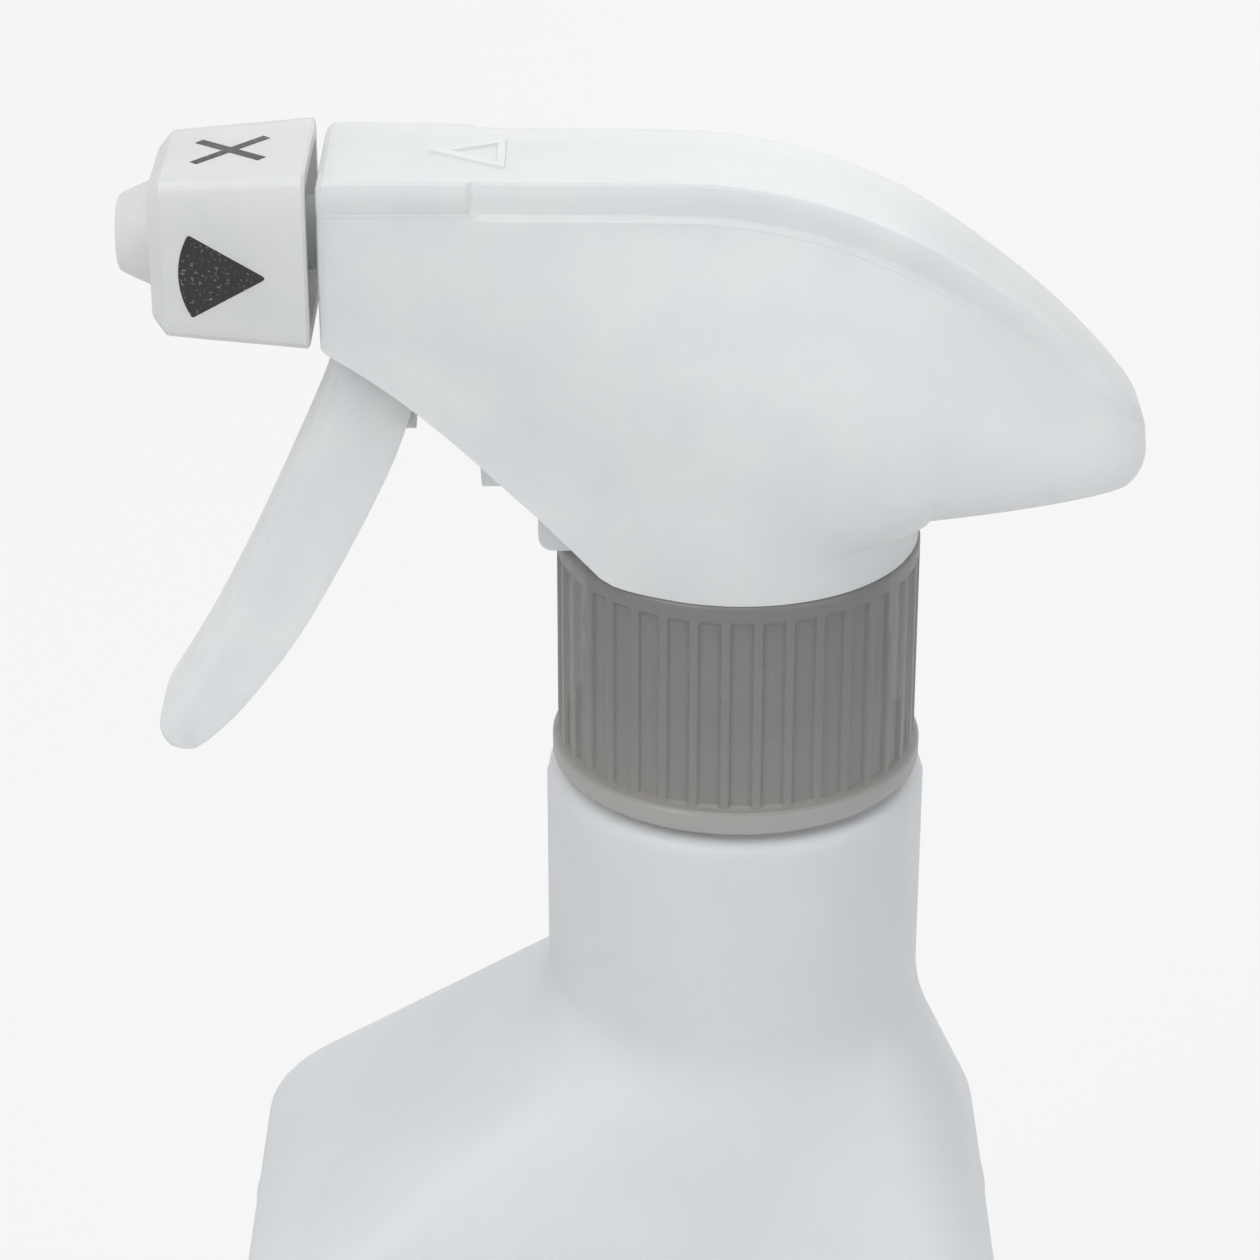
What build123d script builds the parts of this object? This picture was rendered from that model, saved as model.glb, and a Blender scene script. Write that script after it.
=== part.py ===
from build123d import *
import math
import os

# Hand mister: a trigger sprayer head on a refillable bottle. Millimetres, +Z up.
# The origin is on the neck's axis, on the plane that the bottle stands on, and the nozzle
# points along -X. All but the threads and the springs is symmetric about the plane y = 0.

os.makedirs("parts", exist_ok=True)

# ---------------------------------------------------------------- driving dimensions
# Bottle
rim_z = 160.0  # the closure's lower rim above the standing plane
body_length = 75.0
body_depth = 50.0
body_offset = -11.2  # the body's middle from the neck's axis
body_corner = 10.0
bottle_wall = 1.2
shoulder_drop = 50.5  # closure rim down to the shoulder's lower edge
barrel_radius = 18.2
barrel_height = 25.0
barrel_gap = 1.0  # barrel top to the closure's rim
base_lift = 2.0  # push-up under the base
base_rim = 5.0  # width of the ring it stands on
neck_outer = 13.1
neck_bore = 10.9
neck_height = 17.0  # neck's lip above the closure's rim

# Thread between neck and closure
pitch = 4.2
thread_depth = 1.1
thread_root = 1.7
thread_crest = 0.9
bottle_turns = 1.75
closure_turns = 1.5

# Closure
closure_radius = 17.0
closure_height = 23.5
closure_top = 2.0
closure_bore = 14.5
closure_hole = 12.7
skirt_radius = 18.0
skirt_height = 2.2
skirt_bore = 16.5
skirt_depth = 3.6
flare_height = 1.3
panel_count = 36
panel_depth = 0.35
panel_angle = 7.0
panel_low = 4.0
panel_high = 21.6
lug_count = 24
lug_width = 2.0
lug_depth = 1.1

# Fits
running = 0.05
press = 0.02
face_gap = 0.3
thin_gap = 0.1

# Tube connector, gasket and dip tube
flange_radius = 14.0
flange_bottom = 19.0
flange_thick = 2.2
plug_radius = 10.6
plug_wall = 1.2
plug_depth = 4.5
socket_radius = 4.6
socket_depth = 11.0
tube_radius = 2.9
tube_bore = 2.0
tube_foot = 9.0  # dip tube's lower end above the standing plane
spigot_radius = 6.0
spigot_height = 7.0
gasket_thick = 1.8
strainer_radius = 4.2
strainer_height = 10.0
strainer_foot = 4.6
strainer_slot = 0.8

# Valves
seat_z = 22.0
seat_radius = 1.3
ball_radius = 1.8
ball_lift = 1.0
chamber_radius = 2.5
riser_bore = 1.5
valve_bore = 2.8
valve_seat_z = 44.0
valve_radius = 2.3
valve_thick = 1.5
valve_stem = 0.9
valve_stem_length = 3.0
outlet_wire = 0.4
outlet_coil = 1.75
outlet_turns = 7

# Pump body
pedestal_radius = 12.3
pedestal_wall = 1.6
pedestal_height = 4.4
boss_radius = 7.6
riser_radius = 4.6
riser_top = 57.0
cylinder_z = 37.0
cylinder_radius = 8.4
cylinder_bore = 6.6
cylinder_front = -24.0
cylinder_back = -4.4
port_radius = 1.0
tube_z = 53.3  # discharge tube's axis, which is the nozzle's
tube_outer = 3.4
tube_inner = 1.6
tube_end = -46.0
bead_x = -41.6
bead_width = 0.8
bead_height = 0.35
ring_x = -43.6
ring_width = 1.4
ring_depth = 0.7
web_thick = 2.4
saddle_front = -18.8
saddle_low = 23.9
saddle_width = 12.0

# Trigger
pivot_x = -31.0
pivot_z = 48.0
pivot_radius = 1.8
pivot_block = 6.6
trigger_width = 10.6
trigger_wall = 1.4
trigger_face = 1.7
trigger_rib = 1.3
ear_radius = 3.3
pad_x = -33.4
pad_thick = 1.4

# Piston
piston_head = 3.0
head_flat = 1.4  # the head's front narrows to this, so that the tilting pad rolls on it
head_chamfer = 0.8
piston_neck = 1.5
head_back = -30.2
rod_front = -28.4
rod_radius = 3.0
crown_front = -20.0
crown_back = -14.0
crown_radius = 6.2
seal_front = -18.9
seal_back = -15.3
seal_groove = 4.8
seal_waist = 5.8
seal_lip = 0.9
guide_radius = 3.2
guide_length = 3.0
return_wire = 0.8
return_coil = 4.7
return_turns = 6

# Nozzle
nozzle_front = -53.5
nozzle_back = -39.2
nozzle_front_half = 7.5
nozzle_back_half = 8.4
nozzle_bevel = 1.0
nozzle_chamfer = 1.3
nozzle_wall = 1.6
nozzle_face = 2.6
boss_length = 3.4
boss_back_radius = 4.9
boss_front_radius = 3.3
hub_radius = 5.3
chamber_back = -46.6
chamber_front = -50.0
core_radius = 2.75
core_stem = 5.0
core_slot = 0.8
cup_radius = 2.4
cup_length = 4.0
orifice_radius = 0.35

# Shroud
shroud_front = -38.3
shroud_wall = 1.5
shroud_face = 1.2  # front wall, which the discharge tube passes through
pad_end = -24.5
pad_z = 61.5
spine_z = 60.8
collar_radius = 17.0
collar_bottom = 23.8
collar_wall = 1.6
collar_height = 5.0

# ---------------------------------------------------------------- places that follow
shoulder_z = rim_z - shoulder_drop
barrel_top = rim_z - barrel_gap
barrel_bottom = barrel_top - barrel_height
lip_z = rim_z + neck_height
flange_z = rim_z + flange_bottom
flange_top = flange_z + flange_thick
axis_z = rim_z + tube_z
stroke_z = rim_z + cylinder_z
thread_start = rim_z + 4.5
nozzle_axis = Plane(origin=(0, 0, axis_z), x_dir=(0, 1, 0), z_dir=(-1, 0, 0))
piston_axis = Axis((0, 0, stroke_z), (1, 0, 0))
outlet_axis = Axis((0, 0, axis_z), (1, 0, 0))


# ---------------------------------------------------------------- shared shapes
def body_outline(height, inset):
    """The bottle's oblong outline at one height, drawn in by inset all round."""
    with BuildSketch(Plane((body_offset, 0, height))) as outline:
        RectangleRounded(body_length - 2 * inset, body_depth - 2 * inset, body_corner - inset)
    return outline.sketch


def barrel_outline(height, radius):
    """The neck barrel's circle, in eight arcs that meet the oblong's eight edges."""
    corner = math.degrees(math.atan2(body_depth / 2, body_length / 2))
    half_turn = 9.0
    breaks = []
    for middle in (corner, 180 - corner, 180 + corner, 360 - corner):
        breaks += [middle - half_turn, middle + half_turn]
    with BuildSketch(Plane.XY.offset(height)) as outline:
        with BuildLine():
            for start, stop in zip(breaks, breaks[1:] + [breaks[0] + 360]):
                CenterArc((0, 0), radius, start, stop - start)
        make_face()
    return outline.sketch


def bottle_solid(inset, floor, top):
    """The bottle's filled shape from floor to top, drawn in by inset."""
    with BuildPart() as filled:
        add(body_outline(floor, inset))
        extrude(amount=shoulder_z - floor)
        loft(
            sections=[
                body_outline(shoulder_z, inset),
                barrel_outline(barrel_bottom, barrel_radius - inset),
            ],
            ruled=True,
        )
        with BuildSketch(Plane.XY.offset(barrel_bottom)):
            Circle(barrel_radius - inset)
        extrude(amount=top - barrel_bottom)
    return filled.part


def thread(radius, turns, base_z, inward):
    """A helical ridge on a wall of this radius, from base_z up, rooted a little into the wall."""
    root = 0.4
    side = -1 if inward else 1
    with BuildPart() as ridge:
        with BuildLine():
            Helix(pitch, pitch * turns, radius, center=(0, 0, base_z))
        with BuildSketch(Plane((radius, 0, base_z), x_dir=(1, 0, 0), z_dir=(0, -1, 0))):
            with BuildLine():
                Polyline(
                    (-side * root, -thread_root / 2),
                    (side * thread_depth, -thread_crest / 2),
                    (side * thread_depth, thread_crest / 2),
                    (-side * root, thread_root / 2),
                    close=True,
                )
            make_face()
        sweep(is_frenet=True)
    return ridge.part


def coil(wire, radius, turns, length, start, direction):
    """A compression spring's helix, wire centre to wire centre over its length."""
    with BuildPart() as spring:
        with BuildLine() as path:
            Helix(length / turns, length, radius, center=start, direction=direction)
        with BuildSketch(Plane(path.line @ 0, z_dir=path.line % 0)):
            Circle(wire / 2)
        sweep(is_frenet=True)
    return spring.part


def revolved(points, axis):
    """A solid of revolution from an outline in the plane y = 0."""
    with BuildPart() as turned:
        with BuildSketch(Plane.XZ):
            with BuildLine():
                Polyline(*points, close=True)
            make_face()
        revolve(axis=axis)
    return turned.part


# ---------------------------------------------------------------- bottle
bottle_filled = bottle_solid(0, 0, barrel_top)
bottle_space = bottle_solid(bottle_wall, base_lift + bottle_wall, barrel_top - bottle_wall)
bottle_thread = thread(neck_outer, bottle_turns, thread_start, False)

with BuildPart() as bottle:
    add(bottle_filled)
    fillet(bottle.faces().sort_by(Axis.Z)[-1].edges(), 1.5)
    fillet(bottle.faces().sort_by(Axis.Z)[0].edges(), 2.0)
    with BuildSketch(Plane.XY.offset(barrel_top - bottle_wall)):
        Circle(neck_outer)
    extrude(amount=lip_z - barrel_top + bottle_wall)
    add(bottle_thread)
    add(bottle_space, mode=Mode.SUBTRACT)
    with BuildSketch(Plane.XY.offset(barrel_top - 2 * bottle_wall)):
        Circle(neck_bore)
    extrude(amount=lip_z - barrel_top + 3 * bottle_wall, mode=Mode.SUBTRACT)
    with BuildSketch(Plane((body_offset, 0, 0))):
        RectangleRounded(
            body_length - 2 * base_rim, body_depth - 2 * base_rim, body_corner - base_rim
        )
    extrude(amount=base_lift, mode=Mode.SUBTRACT)
bottle.part.label = "bottle"
export_step(bottle.part, "parts/bottle.step")

# ---------------------------------------------------------------- closure ring
closure_thread = thread(closure_bore, closure_turns, thread_start + pitch / 2 + 0.35, True)
panel_height = panel_high - panel_low

with BuildPart() as closure_ring:
    with BuildSketch(Plane.XZ):
        with BuildLine():
            Polyline(
                (0, rim_z),
                (skirt_radius - 0.3, rim_z),
                (skirt_radius, rim_z + 0.3),
                (skirt_radius, rim_z + skirt_height - 0.3),
                (skirt_radius - 0.3, rim_z + skirt_height),
                (closure_radius, rim_z + skirt_height + flare_height),
                (closure_radius, rim_z + closure_height - 0.4),
                (closure_radius - 0.4, rim_z + closure_height),
                (0, rim_z + closure_height),
                close=True,
            )
        make_face()
    revolve(axis=Axis.Z)
    with BuildSketch(Plane.XY.offset(rim_z)):
        Circle(skirt_bore)
    extrude(amount=skirt_depth, mode=Mode.SUBTRACT)
    with BuildSketch(Plane.XY.offset(rim_z)):
        Circle(closure_bore)
    extrude(amount=closure_height - closure_top, mode=Mode.SUBTRACT)
    with BuildSketch(Plane.XY.offset(rim_z)):
        Circle(closure_hole)
    extrude(amount=closure_height, mode=Mode.SUBTRACT)
    with BuildSketch(Plane.XY.offset(rim_z + panel_low)):
        with PolarLocations(closure_radius, panel_count):
            Rectangle(2 * panel_depth, 2 * closure_radius * math.sin(math.radians(panel_angle / 2)))
    extrude(amount=panel_height, mode=Mode.SUBTRACT)
    with BuildSketch(Plane.XY.offset(rim_z + 0.4)):
        with PolarLocations(skirt_bore - lug_depth / 2 + 0.2, lug_count):
            Rectangle(lug_depth + 0.4, lug_width)
    extrude(amount=skirt_depth - 0.4)
    add(closure_thread)
closure_ring.part.label = "closure_ring"
export_step(closure_ring.part, "parts/closure_ring.step")

# ---------------------------------------------------------------- tube connector
seat_height = rim_z + seat_z
socket_end = flange_z - socket_depth
tube_seat = flange_z + 0.6
spigot_top = flange_top + spigot_height

with BuildPart() as tube_connector:
    with BuildSketch(Plane.XY.offset(flange_z)):
        Circle(flange_radius)
    extrude(amount=flange_thick)
    with BuildSketch(Plane.XY.offset(flange_z - plug_depth)):
        Circle(plug_radius)
        Circle(plug_radius - plug_wall, mode=Mode.SUBTRACT)
    extrude(amount=plug_depth)
    with BuildSketch(Plane.XY.offset(socket_end)):
        Circle(socket_radius)
    extrude(amount=socket_depth)
    with BuildSketch(Plane.XY.offset(flange_top)):
        Circle(spigot_radius)
    extrude(amount=spigot_height)
    with BuildSketch(Plane.XY.offset(socket_end)):
        Circle(tube_radius + press)
    extrude(amount=tube_seat - socket_end, mode=Mode.SUBTRACT)
    with BuildSketch(Plane.XY.offset(socket_end)):
        Circle(seat_radius)
    extrude(amount=seat_height - socket_end, mode=Mode.SUBTRACT)
    with BuildSketch(Plane.XY.offset(seat_height)):
        Circle(chamber_radius)
    extrude(amount=spigot_top - seat_height, mode=Mode.SUBTRACT)
tube_connector.part.label = "tube_connector"
export_step(tube_connector.part, "parts/tube_connector.step")

# ---------------------------------------------------------------- gasket
with BuildPart() as gasket:
    with BuildSketch(Plane.XY.offset(flange_z - gasket_thick)):
        Circle(flange_radius - 0.2)
        Circle(plug_radius + 0.1, mode=Mode.SUBTRACT)
    extrude(amount=gasket_thick)
gasket.part.label = "gasket"
export_step(gasket.part, "parts/gasket.step")

# ---------------------------------------------------------------- dip tube and strainer
with BuildPart() as dip_tube:
    with BuildSketch(Plane.XY.offset(tube_foot)):
        Circle(tube_radius)
        Circle(tube_bore, mode=Mode.SUBTRACT)
    extrude(amount=tube_seat - tube_foot)
dip_tube.part.label = "dip_tube"
export_step(dip_tube.part, "parts/dip_tube.step")

with BuildPart() as strainer:
    with BuildSketch(Plane.XY.offset(strainer_foot)):
        Circle(strainer_radius)
    extrude(amount=strainer_height)
    fillet(strainer.faces().sort_by(Axis.Z)[0].edges(), 0.8)
    with BuildSketch(Plane.XY.offset(tube_foot)):
        Circle(tube_radius + press)
    extrude(amount=strainer_height, mode=Mode.SUBTRACT)
    with BuildSketch(Plane.XY.offset(strainer_foot + 1.0)):
        Circle(tube_radius - 0.3)
    extrude(amount=tube_foot - strainer_foot, mode=Mode.SUBTRACT)
    with BuildSketch(Plane.XY.offset(strainer_foot)):
        with PolarLocations(strainer_radius, 6):
            Rectangle(strainer_radius, strainer_slot)
    extrude(amount=tube_foot - strainer_foot - 0.8, mode=Mode.SUBTRACT)
strainer.part.label = "strainer"
export_step(strainer.part, "parts/strainer.step")

# ---------------------------------------------------------------- intake ball
ball_height = seat_height + math.sqrt(ball_radius**2 - seat_radius**2) + thin_gap

with BuildPart() as intake_ball:
    with BuildSketch(Plane.XZ):
        with BuildLine():
            CenterArc((0, ball_height), ball_radius, -90, 180)
            Line((0, ball_height - ball_radius), (0, ball_height + ball_radius))
        make_face()
    revolve(axis=Axis.Z)
intake_ball.part.label = "intake_ball"
export_step(intake_ball.part, "parts/intake_ball.step")

# ---------------------------------------------------------------- pump body
boss_top = spigot_top + 2.0
ball_stop = ball_height + ball_radius + ball_lift + thin_gap
riser_end = rim_z + riser_top
valve_seat = rim_z + valve_seat_z
block_bottom = rim_z + pivot_z - pivot_block / 2
pin_length = trigger_width + 2 * thin_gap
ring_floor = tube_outer - ring_depth

with BuildPart() as pump_body:
    with BuildSketch(Plane.XY.offset(flange_top)):
        Circle(pedestal_radius)
    extrude(amount=pedestal_height)
    with BuildSketch(Plane.XY.offset(flange_top)):
        Circle(pedestal_radius - pedestal_wall)
    extrude(amount=pedestal_height - pedestal_wall, mode=Mode.SUBTRACT)
    with BuildSketch(Plane.XY.offset(flange_top)):
        Circle(boss_radius)
    extrude(amount=boss_top - flange_top)
    with BuildSketch(Plane.XY.offset(flange_top)):
        Circle(riser_radius)
    extrude(amount=riser_end - flange_top)
    with BuildSketch(Plane.XZ):
        with Locations((saddle_front / 2, rim_z + (saddle_low + cylinder_z) / 2)):
            Rectangle(-saddle_front, cylinder_z - saddle_low)
    extrude(amount=saddle_width / 2, both=True)
    saddle_edges = pump_body.edges().filter_by(Axis.Y).group_by(Axis.X)[0]
    fillet(saddle_edges.sort_by(Axis.Z)[0], 1.4)
    with BuildSketch(Plane.YZ.offset(cylinder_front)):
        with Locations((0, stroke_z)):
            Circle(cylinder_radius)
    extrude(amount=-cylinder_front)
    with BuildSketch(Plane.XZ):
        with Locations((pivot_x / 2, (block_bottom + axis_z) / 2)):
            Rectangle(-pivot_x, axis_z - block_bottom)
    extrude(amount=web_thick / 2, both=True)
    with BuildSketch(Plane.XZ):
        with Locations((pivot_x, (block_bottom + axis_z) / 2)):
            Rectangle(pivot_block, axis_z - block_bottom)
    extrude(amount=tube_outer, both=True)
    with BuildSketch(Plane.XZ):
        with Locations((pivot_x, rim_z + pivot_z)):
            Circle(pivot_radius)
    extrude(amount=pin_length / 2, both=True)
    with BuildSketch(nozzle_axis):
        Circle(tube_outer)
    extrude(amount=-tube_end)
    with BuildSketch(nozzle_axis.offset(-bead_x - bead_width / 2)):
        Circle(tube_outer + bead_height)
    extrude(amount=bead_width)
    with BuildSketch(nozzle_axis.offset(-ring_x - ring_width / 2)):
        Circle(tube_outer + 1)
        Circle(ring_floor, mode=Mode.SUBTRACT)
    extrude(amount=ring_width, mode=Mode.SUBTRACT)
    # bores
    with BuildSketch(Plane.XY.offset(flange_top)):
        Circle(spigot_radius + press)
    extrude(amount=spigot_top + thin_gap - flange_top, mode=Mode.SUBTRACT)
    with BuildSketch(Plane.XY.offset(ball_stop)):
        Circle(chamber_radius - running)
    extrude(amount=spigot_top + 1.0 - ball_stop)
    with BuildSketch(Plane.XY.offset(ball_stop)):
        Rectangle(2 * chamber_radius, 0.9)
        Rectangle(0.9, 2 * chamber_radius)
    extrude(amount=1.0, mode=Mode.SUBTRACT)
    with BuildSketch(Plane.XY.offset(ball_stop)):
        Circle(riser_bore)
    extrude(amount=valve_seat - ball_stop, mode=Mode.SUBTRACT)
    with BuildSketch(Plane.XY.offset(valve_seat)):
        Circle(valve_bore)
    extrude(amount=riser_end - valve_seat, mode=Mode.SUBTRACT)
    with BuildSketch(nozzle_axis):
        Circle(tube_inner)
    extrude(amount=-tube_end, mode=Mode.SUBTRACT)
    with BuildSketch(Plane.YZ.offset(cylinder_front)):
        with Locations((0, stroke_z)):
            Circle(cylinder_bore)
    extrude(amount=cylinder_back - cylinder_front, mode=Mode.SUBTRACT)
    with BuildSketch(Plane.YZ.offset(cylinder_back - 1)):
        with Locations((0, stroke_z)):
            Circle(port_radius)
    extrude(amount=-cylinder_back + 1, mode=Mode.SUBTRACT)
pump_body.part.label = "pump_body"
export_step(pump_body.part, "parts/pump_body.step")

# ---------------------------------------------------------------- discharge valve, spring and plug
valve_floor = valve_seat + thin_gap
valve_top = valve_floor + valve_thick
plug_bottom = axis_z + tube_inner + 0.2
spring_room = plug_bottom - valve_top - 2 * thin_gap - outlet_wire

discharge_valve_outline = [
    (0, valve_floor - 1.2),
    (0.7, valve_floor - 1.2),
    (riser_bore - 0.3, valve_floor),
    (valve_radius, valve_floor),
    (valve_radius, valve_top),
    (valve_stem, valve_top),
    (valve_stem, valve_top + valve_stem_length),
    (0, valve_top + valve_stem_length),
]

with BuildPart() as discharge_valve:
    add(revolved(discharge_valve_outline, Axis.Z))
discharge_valve.part.label = "discharge_valve"
export_step(discharge_valve.part, "parts/discharge_valve.step")

outlet_start = (0, 0, valve_top + thin_gap + outlet_wire / 2)
discharge_spring = coil(outlet_wire, outlet_coil, outlet_turns, spring_room, outlet_start, (0, 0, 1))
discharge_spring.label = "discharge_spring"
export_step(discharge_spring, "parts/discharge_spring.step")

with BuildPart() as riser_plug:
    with BuildSketch(Plane.XY.offset(plug_bottom)):
        Circle(valve_bore - press)
    extrude(amount=riser_end - plug_bottom)
    with BuildSketch(Plane.XY.offset(riser_end)):
        Circle(riser_radius - 0.4)
    extrude(amount=1.0)
    with BuildSketch(Plane.XY.offset(plug_bottom - 2.0)):
        Circle(valve_stem)
    extrude(amount=2.0)
riser_plug.part.label = "riser_plug"
export_step(riser_plug.part, "parts/riser_plug.step")

# ---------------------------------------------------------------- piston, seal and return spring
head_front = pad_x + face_gap
spring_front = crown_back + thin_gap + return_wire / 2
spring_length = cylinder_back - crown_back - 2 * thin_gap - return_wire

piston_outline = [
    (head_front, stroke_z),
    (head_front, stroke_z + head_flat),
    (head_front + head_chamfer, stroke_z + piston_head),
    (head_back, stroke_z + piston_head),
    (head_back, stroke_z + piston_neck),
    (rod_front, stroke_z + piston_neck),
    (rod_front, stroke_z + rod_radius),
    (crown_front, stroke_z + rod_radius),
    (crown_front, stroke_z + crown_radius),
    (seal_front, stroke_z + crown_radius),
    (seal_front, stroke_z + seal_groove),
    (seal_back, stroke_z + seal_groove),
    (seal_back, stroke_z + crown_radius),
    (crown_back, stroke_z + crown_radius),
    (crown_back, stroke_z + guide_radius),
    (crown_back + guide_length, stroke_z + guide_radius),
    (crown_back + guide_length, stroke_z),
]

with BuildPart() as piston:
    add(revolved(piston_outline, piston_axis))
piston.part.label = "piston"
export_step(piston.part, "parts/piston.step")

seal_outer = cylinder_bore - running
seal_outline = [
    (seal_front + running, stroke_z + seal_groove + running),
    (seal_front + running, stroke_z + seal_outer),
    (seal_front + running + seal_lip, stroke_z + seal_outer),
    (seal_front + running + 1.3 * seal_lip, stroke_z + seal_waist),
    (seal_back - running - 1.3 * seal_lip, stroke_z + seal_waist),
    (seal_back - running - seal_lip, stroke_z + seal_outer),
    (seal_back - running, stroke_z + seal_outer),
    (seal_back - running, stroke_z + seal_groove + running),
]

with BuildPart() as piston_seal:
    add(revolved(seal_outline, piston_axis))
piston_seal.part.label = "piston_seal"
export_step(piston_seal.part, "parts/piston_seal.step")

return_spring = coil(
    return_wire, return_coil, return_turns, spring_length, (spring_front, 0, stroke_z), (1, 0, 0)
)
return_spring.label = "return_spring"
export_step(return_spring, "parts/return_spring.step")

# ---------------------------------------------------------------- trigger
pivot_height = rim_z + pivot_z
channel_half = trigger_width / 2 - trigger_wall
lever_front = [
    (-37.5, rim_z + 43.4),
    (-38.5, rim_z + 39.0),
    (-41.8, rim_z + 31.3),
    (-49.6, rim_z + 15.1),
    (-54.8, rim_z + 6.5),
]
lever_tip = [(-54.8, rim_z + 6.5), (-55.5, rim_z + 4.3), (-53.6, rim_z + 2.4)]
lever_back = [
    (-51.9, rim_z + 2.4),
    (-46.6, rim_z + 7.6),
    (-41.5, rim_z + 14.6),
    (-33.0, rim_z + 30.7),
    (-29.8, rim_z + 39.3),
    (pivot_x + ear_radius, rim_z + pivot_z),
]


def lever_profile(half_width):
    """The lever's side outline, with round ears about the pivot."""
    with BuildSketch(Plane.XZ.offset(-half_width)) as profile:
        with BuildLine():
            Line((pivot_x - ear_radius, pivot_height), lever_front[0])
            Spline(*lever_front)
            ThreePointArc(*lever_tip)
            Line(lever_tip[-1], lever_back[0])
            Spline(*lever_back)
            CenterArc((pivot_x, pivot_height), ear_radius, 0, 180)
        make_face()
    return profile.sketch


def channel_profile(half_width):
    """The space between the lever's side walls, open to the rear and the top."""
    with BuildSketch(Plane.XZ.offset(-half_width)) as profile:
        with BuildLine():
            inner = [(x + trigger_face * 0.93, z - trigger_face * 0.37) for x, z in lever_front]
            Line((inner[0][0] + 1.0, pivot_height + 12), inner[0])
            Spline(*inner)
            Polyline(
                inner[-1],
                (lever_tip[-1][0] + 1.0, rim_z + 2.4 + trigger_wall),
                (-30, rim_z + 2.4 + trigger_wall),
                (-20, pivot_height + 12),
                (inner[0][0] + 1.0, pivot_height + 12),
            )
        make_face()
    return profile.sketch


def rib_profile(half_width):
    """The lever's inner rib, which stops short of the channel's open side."""
    with BuildSketch(Plane.XZ.offset(-half_width)) as profile:
        with BuildLine():
            front = [(x + 1.0, z - 0.4) for x, z in lever_front[1:]]
            back = [(-50.5, rim_z + 7.0), (-44.6, rim_z + 15.6), (-37.8, rim_z + 28.2)]
            Spline(*front)
            Line(front[-1], back[0])
            Spline(*back)
            Line(back[-1], front[0])
        make_face()
    return profile.sketch


with BuildPart() as trigger:
    extrude(lever_profile(trigger_width / 2), amount=trigger_width)
    extrude(channel_profile(channel_half), amount=2 * channel_half, mode=Mode.SUBTRACT)
    extrude(rib_profile(trigger_rib / 2), amount=trigger_rib)
    with BuildSketch(Plane.XZ):
        with Locations((pad_x - pad_thick / 2, stroke_z)):
            Rectangle(pad_thick, 2 * piston_head + 1.6)
    extrude(amount=channel_half, both=True)
    with BuildSketch(Plane.XZ):
        with Locations((pivot_x, pivot_height)):
            Circle(pivot_radius + running)
    extrude(amount=trigger_width, both=True, mode=Mode.SUBTRACT)
trigger.part.label = "trigger"
export_step(trigger.part, "parts/trigger.step")

# ---------------------------------------------------------------- nozzle
def square_outline(x, half, bevel):
    """The nozzle's square outline at one station, with bevelled corners."""
    with BuildSketch(Plane(origin=(x, 0, axis_z), x_dir=(0, 1, 0), z_dir=(-1, 0, 0))) as outline:
        Rectangle(2 * half, 2 * half)
        chamfer(outline.vertices(), bevel)
    return outline.sketch


boss_front = nozzle_front - boss_length
cup_seat = boss_front + cup_length
front_inner_half = nozzle_front_half - nozzle_wall

with BuildPart() as nozzle_cap:
    loft(
        sections=[
            square_outline(nozzle_back, nozzle_back_half, nozzle_bevel),
            square_outline(nozzle_front + nozzle_chamfer, nozzle_front_half, nozzle_bevel),
            square_outline(nozzle_front, nozzle_front_half - nozzle_chamfer, nozzle_bevel),
        ],
        ruled=True,
    )
    with BuildSketch(nozzle_axis.offset(-nozzle_front)):
        Circle(boss_back_radius)
    with BuildSketch(nozzle_axis.offset(-boss_front)):
        Circle(boss_front_radius)
    loft()
    loft(
        sections=[
            square_outline(nozzle_back, nozzle_back_half - nozzle_wall, nozzle_bevel),
            square_outline(nozzle_front + nozzle_face, front_inner_half, nozzle_bevel),
        ],
        ruled=True,
        mode=Mode.SUBTRACT,
    )
    with BuildSketch(nozzle_axis.offset(-nozzle_back + 0.6)):
        Circle(hub_radius)
    extrude(amount=nozzle_back - 0.6 - nozzle_front - nozzle_face + 0.2)
    with BuildSketch(nozzle_axis.offset(-nozzle_back)):
        Circle(tube_outer + running)
    extrude(amount=nozzle_back - chamber_back, mode=Mode.SUBTRACT)
    with BuildSketch(nozzle_axis.offset(-bead_x - bead_width / 2 - 0.15)):
        Circle(tube_outer + bead_height + 0.1)
    extrude(amount=bead_width + 0.3, mode=Mode.SUBTRACT)
    with BuildSketch(nozzle_axis.offset(-chamber_back)):
        Circle(core_radius + thin_gap)
    extrude(amount=chamber_back - chamber_front, mode=Mode.SUBTRACT)
    with BuildSketch(nozzle_axis.offset(-chamber_front)):
        Circle(1.2)
    extrude(amount=chamber_front - cup_seat, mode=Mode.SUBTRACT)
    with BuildSketch(nozzle_axis.offset(-cup_seat)):
        Circle(cup_radius + press)
    extrude(amount=cup_length, mode=Mode.SUBTRACT)
nozzle_cap.part.label = "nozzle_cap"
export_step(nozzle_cap.part, "parts/nozzle_cap.step")

cup_front = boss_front + 0.3
cup_outline = [
    (cup_seat, axis_z + orifice_radius + 0.8),
    (cup_seat, axis_z + cup_radius),
    (cup_front, axis_z + cup_radius),
    (cup_front, axis_z + cup_radius - 0.6),
    (cup_front + 1.4, axis_z + orifice_radius),
    (cup_seat - 1.2, axis_z + orifice_radius),
]

with BuildPart() as orifice_cup:
    add(revolved(cup_outline, outlet_axis))
orifice_cup.part.label = "orifice_cup"
export_step(orifice_cup.part, "parts/orifice_cup.step")

core_back = tube_end - thin_gap
core_front = chamber_front + face_gap

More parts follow.
